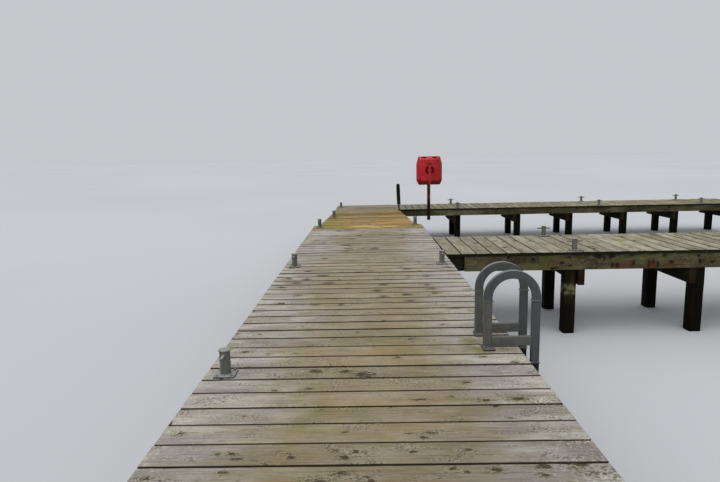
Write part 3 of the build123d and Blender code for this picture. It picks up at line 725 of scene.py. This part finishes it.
def far_finger_stain(p):
    """Damp at both ends of what shows of the far finger."""
    x = p.x - MID_X + 0.3 * wave(p * 1.5)
    return (0.2, 0, max(0.2 * smooth(7.5, 6, x), 0.24 * smooth(9.8, 11.2, x)))


def fresh_stain(p):
    """Grey tread down the middle of the ramp, orange at its right foot, and dark knots."""
    x = p.x - MID_X
    y = p.y - RAMP_START_Y
    grey = smooth(0.45, 0.1, abs(x + 0.15)) * smooth(0.6, 1.8, y)
    orange = smooth(-0.1, 0.6, x + 0.3 * wave(p * 1.5)) * smooth(2.6, 0.6, y) * smooth(0.0, 0.15, y)
    dark = 0.0
    for at_x, at_y, half in FRESH_KNOTS:
        away = math.hypot((x - at_x) / half, (y - at_y) / 0.09) + 0.4 * wave(p * 11)
        dark = max(dark, smooth(1.2, 0.5, away) * 0.7)
    return (grey * 0.6, orange * 0.6, dark)


def walkway_walked(p):
    """The middle of the walkway is warmer and more worn than its edges."""
    off = abs(p.x - MID_X) / HALF_W
    far = smooth(START_Y + 2, START_Y + 7, p.y)
    return smooth(0.88, 0.22, off + 0.25 * wave(p * 1.3)) * (0.95 - 0.25 * far)


def fresh_walk(p):
    """Greener at the left ends, and on the level boards at the right ends too."""
    x = p.x - MID_X + 0.2 * wave(p * 2)
    level = smooth(RAMP_START_Y + 0.1, RAMP_START_Y - 0.1, p.y)
    return max(smooth(-0.5, -1.0, x), level * smooth(-0.1, -0.7, x), level * smooth(0.7, 1.1, x)) * 0.9


def same(value):
    """A function that gives every point the same wear or stain."""
    return lambda p: value


def beam_stain(p):
    """Rust, green growth and dark spots on the near finger's beam."""
    x = p.x - MID_X
    up = p.z - BEAM_FOOT
    lower = smooth(0.17, 0.1, up + 0.05 * wave((p.x * 9, 1, 2)))
    rust = 0.0
    for centre, w, strength in RUST_PATCHES:
        wander = 0.4 * w * wave((p.z * 14, centre * 5, p.x * 6))
        rust = max(rust, smooth(w, w * 0.5, abs(x - centre + wander)) * strength * lower)
    algae = smooth(0.0, 0.4, wave((p.x * 1.1, 3, p.z * 7))) * 0.6
    spot = 0.0
    for centre, height, half_w, half_h in DARK_SPOTS:
        away = math.hypot((x - centre) / half_w, (up - height) / half_h) + 0.5 * wave(p * 24)
        spot = max(spot, smooth(1.25, 0.5, away) * 0.95)
    return (algae, rust, spot)


def far_beam_stain(p):
    """Darker and greener towards the right, and dark beside the lower deck."""
    x = p.x - MID_X + 0.8 * wave(p * 1.5)
    return (0.3, 0, max(smooth(2.5, 6.5, x) * 0.5, smooth(2.4, 1.9, x) * 0.5))


def pale_pile_stain(p):
    """Brown at its top, peeled under the beam, dark from there down."""
    z = p.z + 0.05 * wave((p.x * 16, p.y * 16, p.z * 5))
    bare = smooth(0.62, 0.68, z) * smooth(0.86, 0.76, z) * smooth(-0.35, 0.15, wave(p * 16))
    edge = smooth(0.1, 0.25, wave((p.x * 40, p.y * 40, p.z * 7))) * smooth(0.5, 0.7, z) * 0.5
    damp_and_shade = max(smooth(0.62, 0.42, z) * 0.95, 0.35 * smooth(0.8, 0.86, z), edge)
    return (0.3, bare * 0.85, damp_and_shade * (1 - bare))


def pile_stain(p):
    """Nearly black near the water, as damp and as painted shade under the deck, with a little green growth
    above it.
    """
    z = p.z + 0.1 * wave(p * 4)
    damp_and_shade = smooth(1.3, 0.8, z) * 0.8 + smooth(0.85, 0.5, z) * 0.2
    return (smooth(0.3, 0.6, z) * smooth(1.0, 0.7, z) * 0.4, 0, damp_and_shade)


def post_stain(p):
    """Dark and damp below the deck, green just under the housing."""
    up = p.z - LOWER_Z
    dark = max(smooth(0.36, 0.3, up) * 0.95, smooth(-0.1, -0.25, up))
    return (smooth(0.62, 0.72, up) * 0.8, 0, dark)


def long_axis(box):
    """The index of a box's longest side, 0 or 1."""
    size = box[1] - box[0]
    return 0 if size.x > size.y else 1


def boards(node, kind, material, walked, stain, seed, ramp=False):
    """Every board of a deck. A deck with a ramp has sloping boards and level ones."""
    rng = random.Random(seed)
    bm = bmesh.new()
    for points in islands(node):
        sloped = 1 if ramp and len(set(round(p.z, 3) for p in points)) > 2 else 0
        box = plain_box(points, sloped, sloped)
        timber(bm, box, rng, kind, long_axis(box), 2, sloped, sloped, stain, walked)
    worn(node, bm, material)


def split_set_back(points, box):
    """A beam with a thinner stretch next to the walkway becomes two boxes."""
    lo, hi = box
    step = sorted(set(round(p.x, 3) for p in points))[1]
    face = max(p.y for p in points if p.x < step - 0.01 and p.y < hi.y - 0.01)
    thin = (Vector((lo.x, face, lo.z)), Vector((step + 0.002, hi.y, hi.z)))
    return [thin, (Vector((step, lo.y, lo.z)), hi)]


def beams(node, kind, material, seed, low=0, high=0, stain=None):
    """Every beam, joist or crosshead of a node."""
    rng = random.Random(seed)
    bm = bmesh.new()
    for points in islands(node):
        box = plain_box(points, low, high)
        parts = [(box, stain)]
        if node == "near_finger_edge_beam_near":
            # The thinner stretch is painted dark all over: damp, and shade in its recess.
            parts = zip(split_set_back(points, box), (same(DAMP_AND_SHADE_ALL_OVER), stain))
        for part, mark in parts:
            timber(bm, part, rng, kind, long_axis(box), 2, low, high, mark)
    worn(node, bm, material)


def piles(node, kind, seed, high=0, pale=None):
    """Every pile of a node, on its end. pale is the place of one that has dried out."""
    rng = random.Random(seed)
    bm = bmesh.new()
    for points in islands(node):
        box = plain_box(points, 0, high)
        dry = pale and math.dist(box[0][:2], pale[:2]) < 0.5
        timber(bm, box, rng, kind, 2, 1, 0, high, pale_pile_stain if dry else pile_stain)
    worn(node, bm, PILES)


def turns(count):
    """Angles of a full turn in equal steps."""
    return [2 * math.pi * i / count for i in range(count)]


def turned(place, axis, angle=QUARTER):
    """Matrix that turns round an axis and then moves to a place."""
    return Matrix.Translation(place) @ Matrix.Rotation(angle, 4, axis)


def skin(bm, rings, place=Matrix(), closed=False):
    """Put rings of points in place and join them with faces."""
    join_rings(bm, [[bm.verts.new(place @ Vector(p)) for p in ring] for ring in rings], closed)


def lathe(bm, profile, sides, place):
    """Turn a profile of (radius, height) points round its own Z, then place it."""
    skin(bm, [[(r * math.cos(a), r * math.sin(a), z) for a in turns(sides)] for r, z in profile], place)


def rounded(half_x, half_y, corner, segments=4):
    """Rectangle with round corners as a list of points."""
    out = []
    for k, (sx, sy) in enumerate([(1, 1), (-1, 1), (-1, -1), (1, -1)]):
        for i in range(segments + 1):
            a = QUARTER * (k + i / segments)
            x = sx * (half_x - corner) + corner * math.cos(a)
            out.append((x, sy * (half_y - corner) + corner * math.sin(a)))
    return out


def rounded_plate(bm, half_x, half_y, height, corner, place, edge=0.0015):
    """Plate with round corners and eased edges, from its own Z = 0 up."""
    rings = []
    for cut, z in [(0, 0), (0, height - edge), (edge * 0.3, height - edge * 0.3), (edge, height)]:
        rings.append([(x, y, z) for x, y in rounded(half_x - cut, half_y - cut, corner - cut, 5)])
    skin(bm, rings, place)


def sweep(bm, outline, places):
    """Skin an outline along a list of matrices."""
    join_rings(bm, [[bm.verts.new(m @ Vector((x, y, 0))) for x, y in outline] for m in places])


def straight(bm, outline, place, length):
    """Bar of one outline along its own Z."""
    sweep(bm, outline, [place, place @ Matrix.Translation((0, 0, length))])


def hex_bolt(bm, place, across=0.019, height=0.008, washer=0.015):
    """Washer and hexagon head, standing on its own Z = 0."""
    lathe(bm, [(washer, 0), (washer, 0.0015), (washer - 0.001, 0.0022)], 16, place)
    r = across / math.sqrt(3)
    lathe(bm, [(r, 0.002), (r, height), (r * 0.86, height + 0.0016)], 6, place)
    lathe(bm, [(0.005, height), (0.005, height + 0.004), (0.004, height + 0.005)], 10, place)


def bead(bm, r, tube, z, place, rng, sides=36, round_sides=7):
    """Weld bead round a tube, a little uneven."""
    rings = []
    for a in turns(sides):
        size = tube * rng.uniform(0.8, 1.15)
        spread = [(r + size * math.cos(b), z + size * math.sin(b)) for b in turns(round_sides)]
        rings.append([(d * math.cos(a), d * math.sin(a), height) for d, height in spread])
    skin(bm, rings, place, closed=True)


# Bollard sizes, as in the solids
TUBE_R = 0.038
BOLLARD_H = 0.19
CAP_R = 0.044
CAP_T = 0.008
PLATE_HALF = 0.075
PLATE_T = 0.010
PIN_R = 0.0125
PIN_HALF = 0.1125
PIN_Z = 0.15
BOLT_OUT = 0.055
ROUND_SIDES = 40


def one_bollard(bm, place, pin_turn, rng):
    """Tube with a flat cap, a base plate with four bolts, and a cross pin."""
    top = BOLLARD_H
    under_cap = top - CAP_T
    lathe(bm, [(TUBE_R, PLATE_T * 0.8), (TUBE_R, under_cap)], ROUND_SIDES, place)
    cap = [(CAP_R - 0.001, under_cap), (CAP_R, under_cap + 0.001), (CAP_R, top - 0.002)]
    cap += [(CAP_R - 0.0006, top - 0.0007), (CAP_R - 0.002, top)]
    lathe(bm, cap, ROUND_SIDES, place)
    bead(bm, TUBE_R, 0.0028, under_cap - 0.001, place, rng)
    rounded_plate(bm, PLATE_HALF, PLATE_HALF, PLATE_T, 0.008, place)
    bead(bm, TUBE_R + 0.001, 0.0045, PLATE_T, place, rng)
    for x in (-BOLT_OUT, BOLT_OUT):
        for y in (-BOLT_OUT, BOLT_OUT):
            hex_bolt(bm, place @ turned((x, y, PLATE_T), "Z", rng.uniform(0, math.pi)))
    pin = place @ Matrix.Translation((0, 0, PIN_Z)) @ pin_turn
    ends = [(PIN_R - 0.002, -PIN_HALF), (PIN_R, -PIN_HALF + 0.002)]
    ends += [(PIN_R, PIN_HALF - 0.002), (PIN_R - 0.002, PIN_HALF)]
    lathe(bm, ends, 20, pin)
    for side in (-1, 1):
        bead(bm, PIN_R + 0.0005, 0.003, side * (TUBE_R + 0.0005), pin, rng, 20, 6)


def bollards(node, pin_turn, seed, tilts=()):
    """Every bollard of a node. tilts says how far the first ones lean with the ramp."""
    rng = random.Random(seed)
    bm = bmesh.new()
    for k, points in enumerate(islands(node)):
        back = Matrix.Rotation(tilts[k] if k < len(tilts) else 0, 4, "X")
        lo, hi = plain_box([back @ p for p in points])
        foot = Vector(((lo.x + hi.x) / 2, (lo.y + hi.y) / 2, lo.z))
        one_bollard(bm, back.inverted() @ Matrix.Translation(foot), pin_turn, rng)
    worn(node, bm, GALVANISED)


# Ladder sizes, as in the solids
HOOP_R = 0.225
BAR = 0.067
DEPTH = 0.04
BAR_CORNER = 0.005
BAR_EASE = 0.001
SPRING = 0.404
LEG_TOP = 0.385
COLLAR_T = 0.012
COLLAR_LIP = 0.005
FOOT_HALF = 0.046
FOOT_FRONT = 0.098
FOOT_BACK = 0.03
FOOT_T = 0.01
FOOT_BOLT_X = 0.028
FOOT_BOLT_Y = 0.06
CROSSBAR_H = 0.076
STILE_COLLAR = -0.13
HOOP_STEPS = 72


def upright_bar(bm, x, y, z0, z1, lip=0.0):
    """Rounded bar between two heights, with eased ends. lip is how far it stands out."""
    rings = []
    for z, cut in [(z0, BAR_EASE), (z0 + BAR_EASE, 0), (z1 - BAR_EASE, 0), (z1, BAR_EASE)]:
        outline = rounded(BAR / 2 + lip - cut, DEPTH / 2 + lip - cut, BAR_CORNER)
        rings.append([(x + px, y + py, z) for px, py in outline])
    skin(bm, rings)


def ladder_arches(middle, centre_r, ys):
    """Two hoops that run straight down into the tops of the legs."""
    bm = bmesh.new()
    for y in ys:
        places = []
        for i in range(HOOP_STEPS + 1):
            a = math.pi * i / HOOP_STEPS
            at = (middle + centre_r * math.cos(a), y, DECK_Z + SPRING + centre_r * math.sin(a))
            places.append(turned(at, "Y", -a))
        ends = [places[0].copy(), places[-1].copy()]
        for end in ends:
            end.translation.z = DECK_Z + LEG_TOP
        sweep(bm, rounded(BAR / 2, DEPTH / 2, BAR_CORNER), ends[:1] + places + ends[1:])
    end_piece("ladder_arches_worn", bm, LADDER, ["ladder_arches"], 40)


def ladder_rungs():
    """Round rungs with a weld bead at each end."""
    rng = random.Random(31)
    bm = bmesh.new()
    for points in islands("ladder_rungs"):
        lo, hi = plain_box(points)
        place = turned(((lo.x + hi.x) / 2, lo.y, (lo.z + hi.z) / 2), "X", -QUARTER)
        r = (hi.x - lo.x) / 2
        long = hi.y - lo.y
        lathe(bm, [(r, 0), (r, long)], 28, place)
        for z in (0.002, long - 0.002):
            bead(bm, r - 0.001, 0.003, z, place, rng, 28, 6)
    worn("ladder_rungs", bm, LADDER)


def ladder():
    """Two hooped handrails on box-section legs, their feet, crossbars, stiles and rungs."""
    lo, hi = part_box("ladder_arches")
    middle = (lo[0] + hi[0]) / 2
    ys = [lo[1] + DEPTH / 2, hi[1] - DEPTH / 2]
    centre_r = HOOP_R - BAR / 2
    inner = middle - centre_r
    outer = middle + centre_r
    top = DECK_Z + LEG_TOP
    foot_top = DECK_Z + FOOT_T
    legs, stiles, bars, feet = (bmesh.new() for _ in range(4))
    for y in ys:
        upright_bar(legs, inner, y, foot_top, top)
        upright_bar(stiles, outer, y, 0, top)
        for bm, x, z in ((legs, inner, top), (stiles, outer, top), (stiles, outer, DECK_Z + STILE_COLLAR)):
            upright_bar(bm, x, y, z - COLLAR_T, z, COLLAR_LIP)
        place = turned((inner + BAR / 2, y, foot_top + CROSSBAR_H / 2), "Y")
        straight(bars, rounded(CROSSBAR_H / 2, DEPTH / 2, BAR_CORNER), place, outer - inner - BAR)
        foot = Matrix.Translation((inner, y - (FOOT_FRONT - FOOT_BACK) / 2, DECK_Z))
        rounded_plate(feet, FOOT_HALF, (FOOT_FRONT + FOOT_BACK) / 2, FOOT_T, 0.006, foot)
        for x in (-FOOT_BOLT_X, FOOT_BOLT_X):
            at = Matrix.Translation((inner + x, y - FOOT_BOLT_Y, foot_top))
            hex_bolt(feet, at, 0.013, 0.006, 0.010)
    ladder_arches(middle, centre_r, ys)
    end_piece("ladder_legs_worn", legs, LADDER_LEGS, ["ladder_inner_legs"])
    worn("ladder_stiles", stiles, LADDER)
    worn("ladder_crossbars", bars, LADDER_LEGS)
    worn("ladder_feet", feet, LADDER_LEGS)
    ladder_rungs()


# Housing sizes, as in the solids. Only RING_BAND, the sunk ring's breadth, is larger here: a last
# look at the photo showed it broader.
HOUSE_HALF = 0.411
HOUSE_H = 0.915
TOP_HALF = 0.345
TOP_CUT = 0.25
FOOT_HALF_W = 0.345
FOOT_CUT = 0.145
CORNER = 0.05
CORNER_STEPS = 8
HALF_FOLLOW = 0.7
CUT_FOLLOW = 0.5
COVER_IN = 0.077
COVER_RISE = 0.13
COVER_DROP = 0.095
COVER_LEVELS = 8
RING_R = 0.147
RING_BAND = 0.088
RING_TIE = 0.09
RING_Z = 0.472
RING_STEPS = 20
SUNK = 0.012
BAR_W = 0.124
BAR_H = 0.034
BAR_Z = 0.675
SLOT_W = 0.155
SLOT_X = 0.172
SLOT_Z = 0.85
SLOT_BACK = 0.093
RIB_W = 0.062
HOUSE_FOOT = HOUSE_LOW[2]
HOUSE_BACK = HOUSE_HIGH[1]
HOUSE_SEAM = HOUSE_LOW[1]
HOUSE_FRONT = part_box("lifebuoy_housing_cover")[0][1]


def house_outline(part, ease):
    """Eight-sided outline with round corners: part goes from 0 at the seam to 1 at the front."""
    inset = COVER_IN * part
    rise = COVER_RISE * part
    drop = COVER_DROP * part
    side = HOUSE_HALF - inset - ease
    top = TOP_HALF - inset * HALF_FOLLOW - ease / 2
    foot = FOOT_HALF_W - inset * HALF_FOLLOW - ease / 2
    low = FOOT_CUT + rise * CUT_FOLLOW
    high = HOUSE_H - TOP_CUT - drop * CUT_FOLLOW
    right = [(foot, rise + ease), (side, low), (side, high), (top, HOUSE_H - drop - ease)]
    corners = [Vector(p) for p in right + [(-x, z) for x, z in reversed(right)]]
    out = []
    for i, here in enumerate(corners):
        a = (corners[i - 1] - here).normalized()
        b = (corners[(i + 1) % len(corners)] - here).normalized()
        half = a.angle(b) / 2
        centre = here + (a + b).normalized() * (CORNER / math.sin(half))
        start = here + a * (CORNER / math.tan(half)) - centre
        first = math.atan2(start.y, start.x)
        swing = math.pi - 2 * half
        for k in range(CORNER_STEPS + 1):
            turn = first + swing * k / CORNER_STEPS
            out.append(centre + Vector((math.cos(turn), math.sin(turn))) * CORNER)
    return out


def shell(bm, levels):
    """Skin the housing's outlines: each level is (part, ease, y)."""
    rings = []
    for part, ease, y in levels:
        rings.append([(HOUSE_X + p.x, y, HOUSE_FOOT + p.y) for p in house_outline(part, ease)])
    skin(bm, rings)


def sink(piece, cutters):
    """Cut the given closed meshes out of a piece, for good."""
    for bm in cutters:
        bmesh.ops.recalc_face_normals(bm, faces=bm.faces)
        mesh = bpy.data.meshes.new("cutter")
        bm.to_mesh(mesh)
        bm.free()
        cutter = bpy.data.objects.new("cutter", mesh)
        bpy.context.scene.collection.objects.link(cutter)
        cut = piece.modifiers.new("sink", "BOOLEAN")
        cut.operation = "DIFFERENCE"
        cut.solver = "EXACT"
        cut.object = cutter
        shown = piece.evaluated_get(bpy.context.evaluated_depsgraph_get())
        new = bpy.data.meshes.new_from_object(shown)
        piece.modifiers.clear()
        piece.data = new
        bpy.data.objects.remove(cutter)


def arc_block(bm, start, stop):
    """Bent block for one half of the sunk ring."""
    z = HOUSE_FOOT + RING_Z
    near = HOUSE_FRONT - SUNK
    far = HOUSE_FRONT + SUNK
    inner = RING_R - RING_BAND
    rings = []
    for i in range(RING_STEPS + 1):
        a = start + (stop - start) * i / RING_STEPS
        square = ((inner, near), (RING_R, near), (RING_R, far), (inner, far))
        rings.append([(HOUSE_X + r * math.cos(a), y, z + r * math.sin(a)) for r, y in square])
    skin(bm, rings)


def housing_cutters():
    """Closed meshes for the ring's two halves, the bar and the two slots."""
    cutters = []
    gap = math.asin(RING_TIE / 2 / (RING_R - RING_BAND / 2))
    for turn in (-QUARTER, QUARTER):
        bm = bmesh.new()
        arc_block(bm, turn + gap, turn + math.pi - gap)
        cutters.append(bm)
    half = (HOUSE_H + 0.01 - SLOT_Z) / 2
    slots = [(0, BAR_Z, BAR_W / 2, BAR_H / 2, SUNK)]
    slots += [(x, SLOT_Z + half, SLOT_W / 2, half, SLOT_BACK) for x in (-SLOT_X, SLOT_X)]
    for x, z, half_x, half_z, deep in slots:
        bm = bmesh.new()
        place = turned((HOUSE_X + x, HOUSE_FRONT + deep, HOUSE_FOOT + z), "X")
        straight(bm, rounded(half_x, half_z, min(half_x, half_z) * 0.4, 5), place, deep + 0.02)
        cutters.append(bm)
    return cutters


def paint_recess_shade(mesh):
    """Give the darker red to the inside of the ring, the bar and the slots, as painted shade in these
    recesses.
    """
    for face in mesh.polygons:
        c = face.center
        x = abs(c.x - HOUSE_X)
        z = c.z - HOUSE_FOOT
        ring = math.hypot(x, z - RING_Z) < RING_R
        bar = x < BAR_W / 2 and abs(z - BAR_Z) < BAR_H
        behind = c.y > HOUSE_FRONT + 0.0005
        in_slot = abs(x - SLOT_X) < SLOT_W / 2 and z > SLOT_Z - 0.001
        before_back = c.y < HOUSE_FRONT + SLOT_BACK + 0.001
        level = abs(face.normal.y) > 0.98 or abs(face.normal.x) > 0.8 or face.normal.z > 0.98
        sunk = behind and (ring or bar)
        face.material_index = 1 if sunk or (in_slot and before_back and level) else 0


def housing_cover():
    """Domed cover with its ring, bar and slots sunk in, and a rib at its foot."""
    bm = bmesh.new()
    start = HOUSE_SEAM - 0.01
    deep = start - HOUSE_FRONT
    levels = [(0, 0.004, HOUSE_SEAM), (0, 0, HOUSE_SEAM - 0.004), (0, 0, start)]
    levels += [(i / COVER_LEVELS, 0.001, start - deep * i / COVER_LEVELS) for i in range(1, COVER_LEVELS)]
    levels += [(0.96, 0.001, HOUSE_FRONT + (deep + 0.01) * 0.05), (1, 0.002, HOUSE_FRONT + 0.002)]
    shell(bm, levels + [(1, 0.007, HOUSE_FRONT)])
    piece = end_piece("lifebuoy_cover_worn", bm, RED, ["lifebuoy_housing_cover"], 30,
                      inside=[RECESS_SHADE_RED])
    sink(piece, housing_cutters())
    paint_recess_shade(piece.data)
    bm = bmesh.new()
    bm.from_mesh(piece.data)
    place = turned((HOUSE_X, HOUSE_SEAM - 0.004, HOUSE_FOOT + (COVER_RISE + 0.02) / 2), "X")
    straight(bm, rounded(RIB_W / 2, (COVER_RISE + 0.004) / 2, 0.008), place, deep + 0.003)
    bm.to_mesh(piece.data)
    bm.free()
    piece.data.shade_smooth()
    piece.data.set_sharp_from_angle(angle=math.radians(30))


def housing_tray():
    """Back tray of the housing, with a groove next to the cover."""
    bm = bmesh.new()
    back = HOUSE_BACK
    seam = HOUSE_SEAM
    shell(bm, [(0, 0.006, back), (0, 0.001, back - 0.004), (0, 0, back - 0.01), (0, 0, seam + 0.012),
               (0, 0.004, seam + 0.008), (0, 0.004, seam + 0.002), (0, 0.006, seam)])
    end_piece("lifebuoy_tray_worn", bm, RED, ["lifebuoy_housing_back"], 50)


def lifebuoy():
    """Post, packer, straps and housing."""
    rng = random.Random(41)
    bm = bmesh.new()
    for points in islands("lifebuoy_post"):
        timber(bm, plain_box(points), rng, POST_TIMBER, 2, 1, stain=post_stain)
    worn("lifebuoy_post", bm, POST)
    beams("lifebuoy_post_packer", BEAM, EDGE, 42)
    bm = bmesh.new()
    for points in islands("lifebuoy_straps"):
        lo, hi = plain_box(points)
        centre = (lo + hi) / 2
        place = turned((centre.x, hi.y, centre.z), "X")
        rounded_plate(bm, (hi.x - lo.x) / 2, (hi.z - lo.z) / 2, hi.y - lo.y, 0.006, place, 0.001)
    worn("lifebuoy_straps", bm, GALVANISED)
    housing_tray()
    housing_cover()


# Sleeved post sizes, as in the solids
LEAN = math.radians(2)
SLEEVE_R = 0.059
STEM_R = 0.024
BAND_LOW = 0.212
SLEEVE_LOW = 0.351
MARK_H = 0.872
SLEEVE_SIDES = 48


def sleeved_post():
    """Stem on its plate, dark green band and black sleeve with a rounded tip. It leans a little."""
    lo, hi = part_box("sleeved_post_stem")
    foot = Matrix.Translation(((lo[0] + hi[0]) / 2, (lo[1] + hi[1]) / 2, lo[2]))
    lean = foot @ Matrix.Rotation(-LEAN, 4, "Y")
    r = SLEEVE_R
    top = MARK_H
    bm = bmesh.new()
    shape = [(r - 0.003, SLEEVE_LOW), (r, SLEEVE_LOW + 0.004), (r, top - 0.062), (r - 0.002, top - 0.055)]
    shape += [(r - 0.004, top - 0.05), (r - 0.011, top - 0.02), (r - 0.016, top - 0.006), (r - 0.023, top)]
    lathe(bm, shape, SLEEVE_SIDES, lean)
    for z in (top - 0.075, SLEEVE_LOW + 0.2, SLEEVE_LOW + 0.02):
        bead(bm, r - 0.0035, 0.0035, z, lean, random.Random(5), SLEEVE_SIDES, 6)
    worn("sleeved_post_sleeve", bm, BLACK)
    bm = bmesh.new()
    shape = [(r - 0.004, BAND_LOW), (r - 0.001, BAND_LOW + 0.003), (r - 0.001, SLEEVE_LOW - 0.003)]
    lathe(bm, shape + [(r - 0.004, SLEEVE_LOW)], SLEEVE_SIDES, lean)
    worn("sleeved_post_band", bm, GREEN)
    bm = bmesh.new()
    half = (hi[0] - lo[0]) / 2
    rounded_plate(bm, half, half, 0.01, 0.006, foot)
    lathe(bm, [(STEM_R, 0.008), (STEM_R, BAND_LOW)], 28, lean)
    bead(bm, STEM_R + 0.001, 0.004, 0.011, foot, random.Random(6), 28, 6)
    for x in (-0.03, 0.03):
        for y in (-0.03, 0.03):
            hex_bolt(bm, foot @ Matrix.Translation((x, y, 0.01)), 0.01, 0.005, 0.008)
    worn("sleeved_post_stem", bm, STEM)


# Deck screws. Their feet are SCREW_DOWN under the board's top and SCREW_IN from its edge, give or
# take STRAY. OVER_END is how far a board's middle line may run past a beam's end and still get them.
SCREW_R = 0.005
SCREW_DOWN = 0.006
SCREW_H = 0.0045
SCREW_IN = 0.055
STRAY = 0.008
OVER_END = 0.02


def deck_screws(name, deck, under, seed):
    """Two screws in each board over every beam that carries it."""
    rng = random.Random(seed)
    bm = bmesh.new()
    rows = [plain_box(points) for node in under for points in islands(node)]
    for points in islands(deck):
        lo, hi = plain_box(points)
        along = long_axis((lo, hi))
        across = 1 - along
        middle = (lo[across] + hi[across]) / 2
        for low, high in rows:
            at = (low[along] + high[along]) / 2
            crosses = long_axis((low, high)) == across and lo[along] < at < hi[along]
            if not crosses or not low[across] - OVER_END < middle < high[across] + OVER_END:
                continue
            for side in (lo[across] + SCREW_IN, hi[across] - SCREW_IN):
                point = Vector((0, 0, hi.z - SCREW_DOWN))
                point[along] = at + rng.uniform(-STRAY, STRAY)
                point[across] = side + rng.uniform(-STRAY, STRAY)
                lathe(bm, [(SCREW_R, 0), (SCREW_R, SCREW_H)], 8, Matrix.Translation(point))
    end_piece(name, bm, GALVANISED, [])


def soft_light():
    """Soft light from all round and above."""
    scene = bpy.context.scene
    scene.view_settings.view_transform = "Standard"
    world = bpy.data.worlds.new("sky")
    world.use_nodes = True
    glow = world.node_tree.nodes["Background"]
    glow.inputs["Color"].default_value = (0.93, 0.95, 1.0, 1)
    glow.inputs["Strength"].default_value = 0.6
    scene.world = world
    lamp = bpy.data.lights.new("soft_sky", "SUN")
    lamp.energy = 1.3
    lamp.angle = math.radians(80)
    sky = bpy.data.objects.new("soft_sky", lamp)
    sky.rotation_euler = (math.radians(28), math.radians(-22), 0)
    scene.collection.objects.link(sky)


def pale_floor():
    """Plain floor at the water line."""
    bpy.ops.mesh.primitive_plane_add(size=600, location=(0, 0, -0.001))
    floor = bpy.context.object
    floor.name = "floor"
    s = Shader("floor")
    tint = s.span(s.noise(s.place(), scale=0.05, detail=2), 0.3, 0.7)
    colour = s.mix(tint, (0.60, 0.61, 0.62, 1), (0.64, 0.65, 0.66, 1))
    floor.data.materials.append(s.finish(colour, 0.9))


def camera_on_walkway():
    """The camera, standing on the walkway and turned by its yaw, pitch and roll."""
    data = bpy.data.cameras.new("camera")
    data.lens = LENS
    data.sensor_width = 36
    data.clip_end = 1000
    camera = bpy.data.objects.new("camera", data)
    bpy.context.scene.collection.objects.link(camera)
    place = (MID_X + CAMERA_SIDE, START_Y - CAMERA_BACK, DECK_Z + CAMERA_UP)
    aim = turned(place, "Z", math.radians(CAMERA_YAW))
    aim = aim @ Matrix.Rotation(math.radians(90 - CAMERA_PITCH), 4, "X")
    camera.matrix_world = aim @ Matrix.Rotation(math.radians(CAMERA_ROLL), 4, "Z")
    bpy.context.scene.camera = camera


boards("walkway_boards", WALK_BOARD, WEATHERED, walkway_walked, board_stain, 3)
boards("fresh_boards", FRESH_BOARD, FRESH, fresh_walk, fresh_stain, 5, ramp=True)
boards("lower_deck_boards", FAR_BOARD, WEATHERED, same(0.75), lower_stain, 7)
boards("near_finger_boards", dict(BOARD, station=0.06), FINGER_WOOD, same(0.25),
       finger_stain, 9)
boards("far_finger_boards", FAR_BOARD, FINGER_WOOD, same(0.4), far_finger_stain, 11)
for i, node in enumerate(["walkway_edge_beams", "near_finger_edge_beam_far", "near_finger_end_beam",
                          "lower_deck_edge_beams", "lower_deck_end_beam", "far_finger_edge_beam_far",
                          "far_finger_end_beam"]):
    beams(node, CRACKED_BEAM, DARK_EDGE, 50 + i)
beams("near_finger_edge_beam_near", SHOWN_BEAM, EDGE, 61, stain=beam_stain)
beams("far_finger_edge_beam_near", CRACKED_BEAM, FAR_EDGE, 65, stain=far_beam_stain)
beams("ramp_edge_beams", BEAM, EDGE, 62, low=1, high=1)
beams("ramp_joists", BEAM, UNDER, 63, low=1, high=1)
beams("ramp_crossheads", BEAM, UNDER, 64, high=1)
for i, node in enumerate(["walkway_crossheads", "walkway_joists", "lower_deck_crossheads",
                          "lower_deck_joists", "near_finger_crossheads", "near_finger_joist",
                          "far_finger_crossheads", "far_finger_joist"]):
    beams(node, BEAM, UNDER, 70 + i)
piles("walkway_piles", PILE, 80)
piles("ramp_piles", PILE, 81, high=1)
piles("lower_deck_piles", PILE, 82)
piles("near_finger_piles", SHOWN_PILE, 83, pale=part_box("near_finger_piles")[0])
piles("far_finger_piles", PILE, 84)
along_y = Matrix.Rotation(QUARTER, 4, "X")
along_x = Matrix.Rotation(QUARTER, 4, "Y")
bollards("walkway_bollards", along_y, 90)
bollards("lower_bollards", along_y, 91, tilts=[FALL])
bollards("near_finger_bollards", along_x, 92)
bollards("far_finger_bollards", along_x, 93)
ladder()
lifebuoy()
sleeved_post()
deck_screws("walkway_screws", "walkway_boards", ["walkway_edge_beams", "walkway_joists"], 95)
deck_screws("near_finger_screws", "near_finger_boards",
            ["near_finger_edge_beam_near", "near_finger_joist", "near_finger_edge_beam_far"], 96)
soft_light()
pale_floor()
camera_on_walkway()
